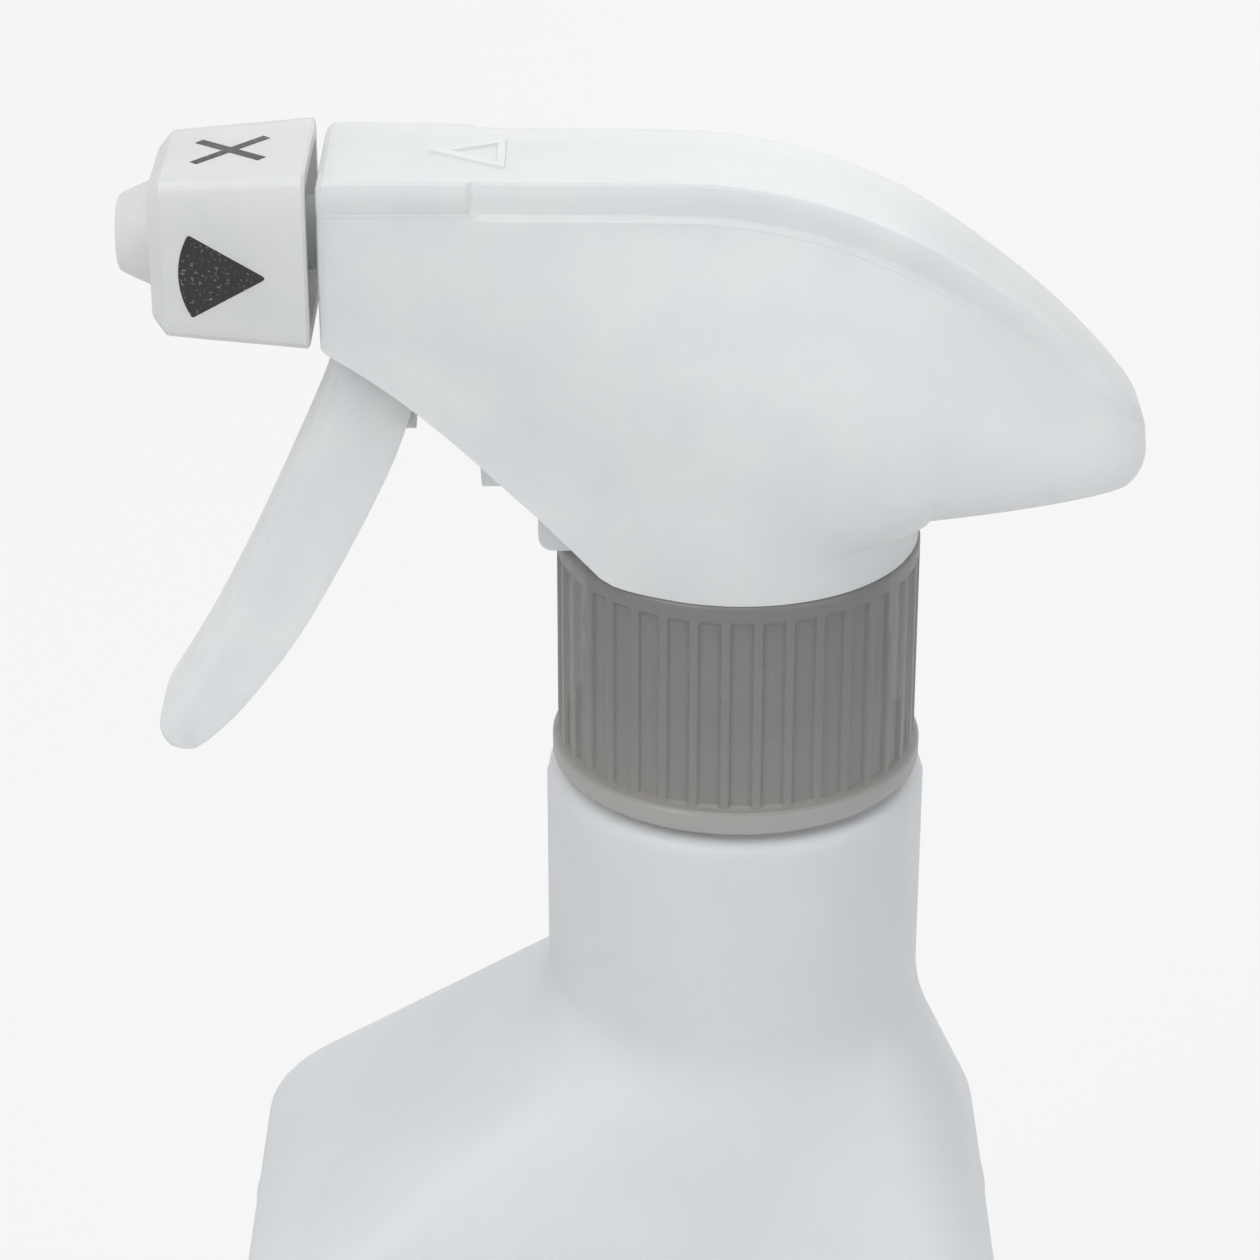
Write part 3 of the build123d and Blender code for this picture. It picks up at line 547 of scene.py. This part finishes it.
closure = make_closure()
put(closure, CLOSURE_GREY, "closure", "closure_grey", "closure_ring")
closure_thread = helix_ridge(
    "closure_thread", 14.5, 1.5, thread_low + 2.1 + 0.35, 4.2, 1.1, 1.7, 0.9, True
)
put(closure_thread, CLOSURE_GREY, "closure", "closure_grey")


# ---------------------------------------------------------------- nozzle
AXIS_Z = RIM + 53.3
NOZZLE_BACK, NOZZLE_FRONT = -39.2, -53.5
NOZZLE_POINTS = 16


def square_ring(x, half, bevel):
    """A bevelled square in the plane across the nozzle's axis."""
    flat = half - bevel
    side = np.linspace(-1, 1, NOZZLE_POINTS - 3)
    points = []
    for quarter in range(4):
        turn = Matrix.Rotation(quarter * math.pi / 2, 2)
        middle = half - bevel / 2
        corner = [(half, flat), (half - 0.12, flat + 0.28), (middle, middle), (flat + 0.28, half - 0.12)]
        for a, b in [(half, s * flat) for s in side[:-1]] + corner:
            y, z = turn @ Vector((a, b))
            points.append((x, y, AXIS_Z + z))
    return points


def round_ring(x, radius):
    return [
        (x, radius * math.cos(a), AXIS_Z + radius * math.sin(a))
        for a in (math.atan2(p[2] - AXIS_Z, p[1]) for p in square_ring(0, 8.0, 1.0))
    ]


def make_nozzle():
    rings = [
        square_ring(NOZZLE_BACK, 8.15, 0.95),
        square_ring(NOZZLE_BACK - 0.25, 8.4, 1.0),
        square_ring(-44.0, 8.08, 1.0),
        square_ring(-48.5, 7.78, 1.0),
        square_ring(-51.9, 7.52, 1.0),
        square_ring(-52.25, 7.45, 1.0),
        square_ring(-53.3, 6.4, 0.9),
        square_ring(NOZZLE_FRONT, 6.15, 0.85),
        square_ring(NOZZLE_FRONT, 5.7, 0.8),
        round_ring(NOZZLE_FRONT, 5.1),
        round_ring(-53.62, 4.92),
        round_ring(-55.2, 4.25),
        round_ring(-56.5, 3.62),
        round_ring(-56.78, 3.42),
        round_ring(-56.88, 3.15),
        round_ring(-56.9, 2.75),
        round_ring(-56.78, 2.5),
        round_ring(-56.5, 2.42),
        round_ring(-52.9, 2.42),
        round_ring(-52.9, 1.2),
        round_ring(-50.0, 1.2),
        round_ring(-50.0, 2.85),
        round_ring(-46.6, 2.85),
        round_ring(-46.6, 3.45),
        round_ring(-39.8, 3.45),
        round_ring(-39.8, 5.3),
        round_ring(-50.9, 5.3),
        square_ring(-50.9, 5.9, 0.6),
        square_ring(NOZZLE_BACK, 6.8, 0.6),
    ]
    return settle(rings_mesh("nozzle_shell", rings, closed_loop=True), 32)


nozzle = make_nozzle()
put(nozzle, NOZZLE_WHITE, "nozzle", "nozzle_pp", "nozzle_cap")


# ---------------------------------------------------------------- shroud
SPINE = [(-38.3, 60.8), (-24.0, 60.8), (-14.0, 60.75), (-4.0, 60.6), (1.0, 60.0), (6.0, 58.9), (13.6, 56.0),
         (17.5, 53.9), (22.8, 50.3), (28.7, 45.7), (32.1, 42.5), (35.0, 39.4), (36.6, 37.2), (37.93, 35.4)]
TOP_HALF = [(-38.3, 7.4), (-24.0, 7.2), (-10.0, 7.2), (2.0, 7.1), (14.0, 6.9), (20.0, 6.4), (26.0, 5.6),
            (32.0, 4.6), (36.0, 3.7), (37.93, 3.2)]
WIDE_Z = [(-38.3, 50.0), (-24.0, 42.0), (-10.0, 36.0), (2.0, 34.2), (14.0, 34.0), (24.0, 33.2), (32.0, 32.8),
          (36.0, 32.5), (37.93, 31.9)]
WIDE_HALF = [(-38.3, 8.4), (-31.0, 9.0), (-24.0, 10.0), (-10.0, 13.8), (-4.0, 15.7), (2.0, 16.8), (8.0, 16.9),
             (14.0, 16.2), (19.0, 15.1), (24.0, 13.6), (28.0, 12.1), (32.0, 10.3), (35.0, 8.6), (36.6, 7.2),
             (37.93, 6.0)]
EDGE_Z = [(-38.3, 45.0), (-36.0, 43.7), (-32.9, 41.7), (-29.3, 39.0), (-25.8, 36.1), (-22.2, 32.9),
          (-18.5, 29.7), (-14.9, 26.3), (-12.6, 24.2), (-11.0, 23.65), (-9.0, 23.55), (17.0, 23.55)]
EDGE_HALF = [(-38.3, 8.4), (-30.0, 9.3), (-24.0, 10.3), (-18.5, 11.7), (-14.0, 12.75), (-11.2, 13.6),
             (-8.0, 15.1), (-4.0, 16.55), (-1.0, 17.0)]
BELLY = [(17.0, 27.6), (20.0, 27.9), (24.0, 28.3), (30.0, 28.8), (34.0, 29.3), (36.6, 30.2), (37.93, 31.0)]
TAIL_START, TAIL_END, TAIL_Z, TAIL_TAPER = 35.5, 37.93, 32.6, 0.6
PAD_HEIGHT, PAD_END, PAD_SPREAD = 0.3, -24.6, 0.65
BAND, STEP, STEP_OUT = 2.9, 0.42, 0.75
SHROUD_FRONT, SHROUD_WALL, FRONT_ROUNDING = -38.3, 1.4, 1.0
COLLAR_BACK = 17.0  # the collar's rear, where the belly of the tail begins


def shroud_half(x):
    """Half of the shroud's cross-section at one station, from its spine to its lower end."""
    top = along(SPINE, x)
    end = smoothstep(26.0, 36.0, x)
    half = along(TOP_HALF, x)
    spread = PAD_SPREAD * (1 - smoothstep(PAD_END - 0.3, PAD_END + 0.3, x))
    rise = PAD_HEIGHT * (1 - smoothstep(PAD_END - 4.0, PAD_END + 4.0, x))
    rows = [(y, top + rise) for y in (0.0, half * 0.35, half * 0.7, half - 0.9)]
    edge = ((-0.35, 0.0), (-0.1, 0.06), (0.1, 0.3))
    rows += [(half + spread + out, top + rise - down) for out, down in edge]
    # the band below the top edge runs in a little behind the side, once past the pad
    shown = smoothstep(-24.6, -22.6, x) * (1 - end)
    band = BAND * (1 - 0.45 * end)
    width = along(WIDE_HALF, x)
    wide_z = along(WIDE_Z, x)
    line_half = min(half + 0.62 - 0.30 * shown, width - 0.1)
    line_z = top - band
    proud = min(line_half + STEP_OUT * shown + 0.06, width)
    step_z = line_z - STEP * (1 - 0.5 * end)
    rows += [((half + 0.1 + line_half) / 2 + spread * 0.8, (top - 0.3 + line_z) / 2 + rise * 0.5)]
    rows += [(line_half - 0.02, line_z + 0.10), (line_half + 0.03, line_z)]
    rows += [(proud - 0.05, step_z + 0.04), (proud, step_z - 0.02), (proud + 0.02, step_z - 0.16)]
    start = rows[-1]
    drop = start[1] - wide_z
    rows += list(
        bezier(start, (start[0] + 0.52 * (width - start[0]), start[1] - 0.30 * drop),
               (width, wide_z + 0.42 * drop), (width, wide_z), 12)
    )
    if x < COLLAR_BACK:
        low = along(EDGE_Z, x)
        foot = along(EDGE_HALF, x) if x < -1.0 else math.sqrt(max(0.0, COLLAR_BACK**2 - x * x))
    else:
        low = along(BELLY, x)
        foot = 0.0
    tuck = smoothstep(3.0, 15.0, x)
    inner_z = low + 3.6 * (1 - tuck) + 4.0 * tuck if x < COLLAR_BACK else low
    if x < -10.0:
        inner_z = low + min(3.0, 0.5 * (wide_z - low))
    inner_y = foot + 0.5 * tuck
    fall = wide_z - inner_z
    rows += list(
        bezier((width, wide_z), (width + 0.1 * (foot - width) * (1 - tuck), wide_z - 0.52 * fall),
               (inner_y + (width - inner_y) * (0.05 + 0.55 * tuck), inner_z + (1 - tuck) * 0.4 * fall),
               (inner_y, inner_z), 12)
    )
    for share in (0.12, 0.35, 0.7, 1.0):
        rows.append((inner_y + (foot - inner_y) * min(1.0, share * 3), inner_z + (low - inner_z) * share))
    return rows


def make_shroud():
    stations = [-38.3, -38.1, -37.6, -37.2]
    stations += list(np.linspace(-36.4, -25.6, 10)) + list(np.linspace(-25.0, -22.2, 11))
    stations += list(np.linspace(-21.2, 8.0, 26)) + list(np.linspace(9.0, 16.0, 9))
    stations += [16.4, 16.7, 16.9, 16.99, 17.01, 17.3, 17.8] + list(np.linspace(18.6, 35.0, 16))
    dome = (0, 0.15, 0.3, 0.45, 0.6, 0.74, 0.85, 0.93, 0.98, 0.998)
    stations += [TAIL_START + (TAIL_END - TAIL_START) * t for t in dome]
    points, faces = [], []
    count = None
    for x in stations:
        half = shroud_half(x)
        if x > TAIL_START:
            # the tail ends in a dome that takes up the taper before it
            along_dome = TAIL_TAPER + (1 - TAIL_TAPER) * (x - TAIL_START) / (TAIL_END - TAIL_START)
            share = math.sqrt((1 - along_dome**2) / (1 - TAIL_TAPER**2))
            half = [(y * share, TAIL_Z + (z - TAIL_Z) * share) for y, z in shroud_half(TAIL_START)]
        into_front = (SHROUD_FRONT + FRONT_ROUNDING - x) / FRONT_ROUNDING
        if into_front > 0:
            inset = FRONT_ROUNDING * (1 - math.sqrt(max(0.0, 1 - into_front**2)))
            half = [(max(0.0, y - inset), z - inset * smoothstep(53, 60, z)) for y, z in half]
        ring = [(x, -y, RIM + z) for y, z in reversed(half)] + [(x, y, RIM + z) for y, z in half[1:]]
        count = len(ring)
        points += ring
    for i in range(len(stations) - 1):
        for k in range(count - 1):
            a = i * count + k
            faces.append((a, a + count, a + count + 1, a + 1))
    # the front wall, between the two halves of the first station
    middle = count // 2
    for k in range(middle):
        a, b = k, count - 1 - k
        if k + 1 < middle:
            faces.append((a, a + 1, b - 1, b))
        else:
            faces.append((a, middle, b))
    piece = new_piece("shroud_shell", points, faces)
    thicken(piece, SHROUD_WALL, even=False)
    return settle(piece, 24)


shroud = make_shroud()
put(shroud, MILKY, "head", "shroud_pp", "shroud")


def surface_z(x):
    """Height of the shroud's flat top at one station."""
    return RIM + along(SPINE, x) + PAD_HEIGHT * (1 - smoothstep(PAD_END - 4.0, PAD_END + 4.0, x))


POINTER_X, POINTER_TOP = -23.9, RIM + 61.68


def triangle_ring(corners, depth, shrink):
    """A triangle's outline on the shroud's top, raised by a depth and drawn in by a share."""
    ring = []
    for side in range(3):
        a, b = corners[side], corners[(side + 1) % 3]
        for t in np.linspace(0, 1, 16, endpoint=False):
            x, y = a[0] + (b[0] - a[0]) * t, a[1] + (b[1] - a[1]) * t
            x += (POINTER_X - x) * shrink
            y -= y * shrink
            ring.append((x, y, min(surface_z(x) + depth, POINTER_TOP)))
    return ring


def make_pointer():
    """The raised outline of a triangle on the shroud's top, which points at the nozzle."""
    outer = [(-28.6, 0.0), (-21.5, 3.75), (-21.5, -3.75)]
    inner = [(-26.5, 0.0), (-22.3, 2.4), (-22.3, -2.4)]
    rings = [triangle_ring(outer, *row) for row in ((-0.35, 0.0), (0.12, 0.0), (0.2, 0.025))]
    rings += [triangle_ring(inner, *row) for row in ((0.2, -0.04), (0.12, 0.0), (-0.35, 0.0))]
    return settle(rings_mesh("shroud_pointer", rings, closed_loop=True), 40)


put(make_pointer(), MILKY, "head", "shroud_pp")


# ---------------------------------------------------------------- trigger
PIVOT_X, PIVOT_Z = -31.0, 48.0
EAR_R, PIN_HOLE, EAR_SIDES = 3.3, 1.85, (4.0, 5.22)
LEVER_HALF = 5.3
LEVER_FRONT = [(-37.5, 43.4), (-38.5, 39.0), (-41.8, 31.3), (-45.8, 22.6), (-49.6, 15.1), (-52.7, 9.7),
               (-54.8, 6.3), (-55.45, 4.4), (-54.9, 2.9), (-53.6, 2.4), (-52.3, 2.45)]
LEVER_BACK = [(-29.8, 39.3), (-31.4, 34.6), (-33.0, 30.7), (-36.6, 23.4), (-41.5, 14.6), (-46.6, 7.6),
              (-50.1, 3.9), (-51.9, 2.55)]
LEVER_WALL, LEVER_ROUNDING, LEVER_CLOSES_AT = 1.35, 2.0, 0.90


def make_lever():
    """The lever: a channel with a rounded front, open to the rear, closed at its tip."""
    steps = 60
    fronts = through(LEVER_FRONT, steps)
    back_line = through(LEVER_BACK, 200)
    rows = []
    for i, front in enumerate(fronts):
        share = i / (steps - 1)
        run = min(1.0, share / LEVER_CLOSES_AT)
        back = back_line[min(199, int(round(199 * run)))]
        span = back - front
        depth = float(np.linalg.norm(span))
        inward = span / max(depth, 1e-6)
        radius = min(LEVER_ROUNDING, 0.45 * depth)
        section = [(depth * t + radius * (1 - t), LEVER_HALF) for t in (1.0, 0.75, 0.4)]
        for a in (0, 18, 36, 54, 72, 90):
            turn = math.radians(a)
            section.append((radius * (1 - math.sin(turn)), LEVER_HALF - radius * (1 - math.cos(turn))))
        for y in (2.0, 1.0, 0.0):
            section.append((0.0, y))
        section += [(a, -y) for a, y in reversed(section[:-1])]
        rows.append([(front[0] + inward[0] * a, y, RIM + front[1] + inward[1] * a) for a, y in section])
    count = len(rows[0])
    points = [p for row in rows for p in row]
    faces = []
    for i in range(len(rows) - 1):
        for k in range(count - 1):
            a = i * count + k
            faces.append((a, a + 1, a + count + 1, a + count))
    piece = new_piece("trigger_lever", points, faces)
    thicken(piece, LEVER_WALL)
    soften(piece, 0.3, 2, 50)
    return settle(piece, 35)


def make_ear(side):
    """A side plate that carries the lever on its pivot."""
    turn = [math.radians(a) for a in np.linspace(0, 180, 19)]
    outline = [(PIVOT_X + EAR_R * math.cos(t), RIM + PIVOT_Z + EAR_R * math.sin(t)) for t in turn]
    outline += [(-36.9, RIM + 43.6), (-37.3, RIM + 40.0), (-36.2, RIM + 38.2), (-31.2, RIM + 38.0)]
    around = np.linspace(0, 2 * math.pi, 48, endpoint=False)
    hole = [(PIVOT_X + PIN_HOLE * math.cos(t), RIM + PIVOT_Z + PIN_HOLE * math.sin(t)) for t in around]
    outer = []
    for hx, hz in hole:
        # the point where a ray from the pivot leaves the outline
        ray = np.array([hx - PIVOT_X, hz - RIM - PIVOT_Z])
        best = None
        for (ax, az), (bx, bz) in zip(outline, outline[1:] + outline[:1]):
            a = np.array([ax - PIVOT_X, az - RIM - PIVOT_Z])
            b = np.array([bx - PIVOT_X, bz - RIM - PIVOT_Z])
            edge = b - a
            det = ray[0] * -edge[1] + edge[0] * ray[1]
            if abs(det) < 1e-9:
                continue
            t = (a[0] * -edge[1] + edge[0] * a[1]) / det
            s = (ray[0] * a[1] - ray[1] * a[0]) / det
            if t > 0 and -1e-6 <= s <= 1 + 1e-6 and (best is None or t < best):
                best = t
        outer.append((PIVOT_X + ray[0] * best, RIM + PIVOT_Z + ray[1] * best))
    low, high = (side * y for y in EAR_SIDES)
    lines = ((low, hole), (low, outer), (high, outer), (high, hole))
    rings = [[(x, y, z) for x, z in line] for y, line in lines]
    name = "trigger_ear_near" if side < 0 else "trigger_ear_far"
    piece = rings_mesh(name, rings, closed_loop=True)
    soften(piece, 0.25, 2, 50)
    return settle(piece, 35)


lever = make_lever()
put(lever, MILKY_LEVER, "trigger", "trigger_pp", "trigger")
for side in (-1, 1):
    put(make_ear(side), MILKY_LEVER, "trigger", "trigger_pp")

rib_front = through([(x + 1.0, z - 0.4) for x, z in LEVER_FRONT[1:7]], 24)
rib_back = through([(-50.5, 7.0), (-44.6, 15.6), (-37.8, 28.2)], 16)
rib_line = [(x, RIM + z) for x, z in list(rib_front) + list(rib_back)]
rib = plate("trigger_rib", rib_line, 0.65)
soften(rib, 0.15, 2, 50)
put(settle(rib), MILKY_LEVER, "trigger", "trigger_pp")

pad_line = [(-34.8, RIM + 33.2), (-33.4, RIM + 33.2), (-33.4, RIM + 40.8), (-34.8, RIM + 40.8)]
push_pad = plate("trigger_push_pad", pad_line, 3.9)
soften(push_pad, 0.2, 2, 50)
put(settle(push_pad), MILKY_LEVER, "trigger", "trigger_pp")


# ---------------------------------------------------------------- marks on the nozzle
PROUD = 0.035


def nozzle_half(x):
    return 8.4 + (7.52 - 8.4) * (x - NOZZLE_BACK + 0.25) / (-51.9 - NOZZLE_BACK + 0.25)


def make_mark(name, outline, quarter):
    """A thin printed shape on one side of the nozzle. The outline is in X and across the side."""
    turn = Matrix.Rotation(quarter * math.pi / 2, 2)
    rings = []
    for lift in (-0.06, PROUD):
        ring = []
        for x, across in outline:
            y, z = turn @ Vector((nozzle_half(x) + lift, across))
            ring.append((x, y, AXIS_Z + z))
        rings.append(ring)
    return settle(rings_mesh(name, rings, cap_first=True, cap_last=True))


def rounded(points, radius, steps=6):
    """A closed outline with its corners rounded."""
    out = []
    count = len(points)
    for i in range(count):
        before, here, after = (Vector(points[(i + d) % count]) for d in (-1, 0, 1))
        a = (before - here).normalized()
        b = (after - here).normalized()
        reach = min(radius, 0.45 * (before - here).length, 0.45 * (after - here).length)
        start, stop = here + a * reach, here + b * reach
        for t in np.linspace(0, 1, steps):
            out.append(tuple((1 - t) ** 2 * start + 2 * (1 - t) * t * here + t**2 * stop))
    return out


def cross_outline(middle, length, height, stroke):
    """An X: its bars run corner to corner of a rectangle."""
    a = math.atan2(height, length)
    reach = math.hypot(length, height) / 2
    points = []
    for direction, following in ((a, math.pi - a), (math.pi - a, math.pi + a), (math.pi + a, -a), (-a, a)):
        d = Vector((math.cos(direction), math.sin(direction)))
        n = Vector((-d.y, d.x)) * stroke / 2
        points += [tuple(d * reach - n), tuple(d * reach + n)]
        if following < direction:
            following += 2 * math.pi
        between, gap = (direction + following) / 2, following - direction
        inner = stroke / 2 / math.sin(gap / 2)
        points.append((inner * math.cos(between), inner * math.sin(between)))
    return [(middle + x, y) for x, y in points]


FAN_X, FAN_Z, FAN_R = -42.8, 1.3, 8.0
SIDES = {"far": 0, "top": 1, "near": 2, "bottom": 3}
for where in ("top", "bottom"):
    cross = make_mark(f"mark_off_{where}", cross_outline(-46.4, 6.2, 5.7, 1.0), SIDES[where])
    put(cross, INK, "nozzle", "nozzle_pp")

fan = [(FAN_X, FAN_Z)]
for a in np.linspace(-30, 30, 15):
    turn = math.radians(a)
    fan.append((FAN_X - FAN_R * math.cos(turn), FAN_Z + FAN_R * math.sin(turn)))
put(make_mark("mark_spray_near", rounded(fan, 0.5, 5), SIDES["near"]), INK, "nozzle", "nozzle_pp")
stream = rounded([(-50.3, -0.75), (-43.0, -0.75), (-43.0, 0.75), (-50.3, 0.75)], 0.3, 4)
put(make_mark("mark_stream_far", stream, SIDES["far"]), INK, "nozzle", "nozzle_pp")


# ---------------------------------------------------------------- CAD nodes that stay, with finishes
for node, material in {
    "pump_body": PUMP_WHITE,
    "tube_connector": PUMP_WHITE,
    "gasket": SEAL_SOFT,
    "dip_tube": TUBE_CLEAR,
    "strainer": PISTON_GREY,
    "discharge_valve": SEAL_SOFT,
    "discharge_spring": SPRING_STEEL,
    "riser_plug": PISTON_GREY,
    "piston": PISTON_GREY,
    "piston_seal": SEAL_SOFT,
    "return_spring": SPRING_STEEL,
    "intake_ball": BALL_STEEL,
    "orifice_cup": PISTON_GREY,
    "nozzle_insert": PISTON_GREY,
    "nozzle_seal": SEAL_SOFT,
}.items():
    dress(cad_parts[node], material)


# ---------------------------------------------------------------- floor, light and camera
def seen_directly(tree):
    """1 for rays from the camera, in reflections and through clear plastic, and 0 for other light."""
    path = tree.nodes.new("ShaderNodeLightPath")
    seen = path.outputs["Is Camera Ray"]
    for kind in ("Is Glossy Ray", "Is Transmission Ray"):
        either = tree.nodes.new("ShaderNodeMath")
        either.operation = "MAXIMUM"
        tree.links.new(seen, either.inputs[0])
        tree.links.new(path.outputs[kind], either.inputs[1])
        seen = either.outputs[0]
    return seen


def stage_material(name, level):
    """Pale to the camera and in reflections, and plain grey to the light that falls on it."""
    n = Nodes(name)
    matte = n.add("ShaderNodeBsdfDiffuse")
    matte.inputs["Color"].default_value = (0.80, 0.80, 0.80, 1.0)
    glow = n.add("ShaderNodeEmission")
    glow.inputs["Color"].default_value = (*level, 1.0)
    glow.inputs["Strength"].default_value = 1.0
    half = n.add("ShaderNodeMixShader")
    half.inputs[0].default_value = 0.72
    n.join(matte.outputs[0], half.inputs[1])
    n.join(glow.outputs[0], half.inputs[2])
    mix = n.add("ShaderNodeMixShader")
    n.join(seen_directly(n.tree), mix.inputs[0])
    n.join(matte.outputs[0], mix.inputs[1])
    n.join(half.outputs[0], mix.inputs[2])
    return n.output(mix.outputs[0])


floor_mesh = bpy.data.meshes.new("floor")
FLOOR_HALF, FLOOR_Z = 6, -0.0004
floor_corners = [(x * FLOOR_HALF, y * FLOOR_HALF, FLOOR_Z) for x, y in ((-1, -1), (1, -1), (1, 1), (-1, 1))]
floor_mesh.from_pydata(floor_corners, [], [(0, 1, 2, 3)])
floor = bpy.data.objects.new("floor", floor_mesh)
bpy.context.scene.collection.objects.link(floor)
floor.data.materials.append(stage_material("floor_pale", (0.93, 0.925, 0.92)))

world = bpy.data.worlds.new("studio")
bpy.context.scene.world = world
world.use_nodes = True
wt = world.node_tree
wt.nodes.clear()
lit = wt.nodes.new("ShaderNodeBackground")
lit.inputs["Color"].default_value = (0.93, 0.96, 1.0, 1.0)
lit.inputs["Strength"].default_value = 0.62
seen_sky = wt.nodes.new("ShaderNodeBackground")
seen_sky.inputs["Color"].default_value = (0.95, 0.95, 0.95, 1.0)
seen_sky.inputs["Strength"].default_value = 1.0
sky = wt.nodes.new("ShaderNodeMixShader")
wt.links.new(seen_directly(wt), sky.inputs[0])
wt.links.new(lit.outputs[0], sky.inputs[1])
wt.links.new(seen_sky.outputs[0], sky.inputs[2])
end = wt.nodes.new("ShaderNodeOutputWorld")
wt.links.new(sky.outputs[0], end.inputs["Surface"])


def lamp(name, place, target, size, power, colour=(1, 1, 1)):
    light = bpy.data.lights.new(name, "AREA")
    light.shape = "DISK"
    light.size = size
    light.energy = power
    light.color = colour
    obj = bpy.data.objects.new(name, light)
    obj.location = place
    obj.rotation_euler = (Vector(target) - Vector(place)).to_track_quat("-Z", "Y").to_euler()
    bpy.context.scene.collection.objects.link(obj)


lamp("key", (-0.7, -0.7, 1.1), (0, 0, 0.18), 0.8, 6.8)
lamp("top", (0.0, -0.1, 1.5), (0, 0, 0.18), 1.0, 4.4)
lamp("fill", (0.9, -0.8, 0.5), (0, 0, 0.16), 0.9, 3.0, (0.95, 0.97, 1.0))
lamp("back", (0.3, 1.0, 0.8), (0, 0, 0.18), 0.9, 4.0)

LOOK_AT = Vector((-10.26, 0.0, 172.55)) * MM
DISTANCE, PITCH = 0.380, math.radians(26.95)
SENSOR, LENS = 36.0, 113.16
camera_data = bpy.data.cameras.new("camera")
camera_data.sensor_width = SENSOR
camera_data.lens = LENS
camera_data.clip_start = 0.01
camera = bpy.data.objects.new("camera", camera_data)
camera.location = LOOK_AT + Vector((0, -math.cos(PITCH), math.sin(PITCH))) * DISTANCE
camera.rotation_euler = (math.pi / 2 - PITCH, 0, 0)
bpy.context.scene.collection.objects.link(camera)
bpy.context.scene.camera = camera
bpy.context.scene.view_settings.view_transform = "Standard"
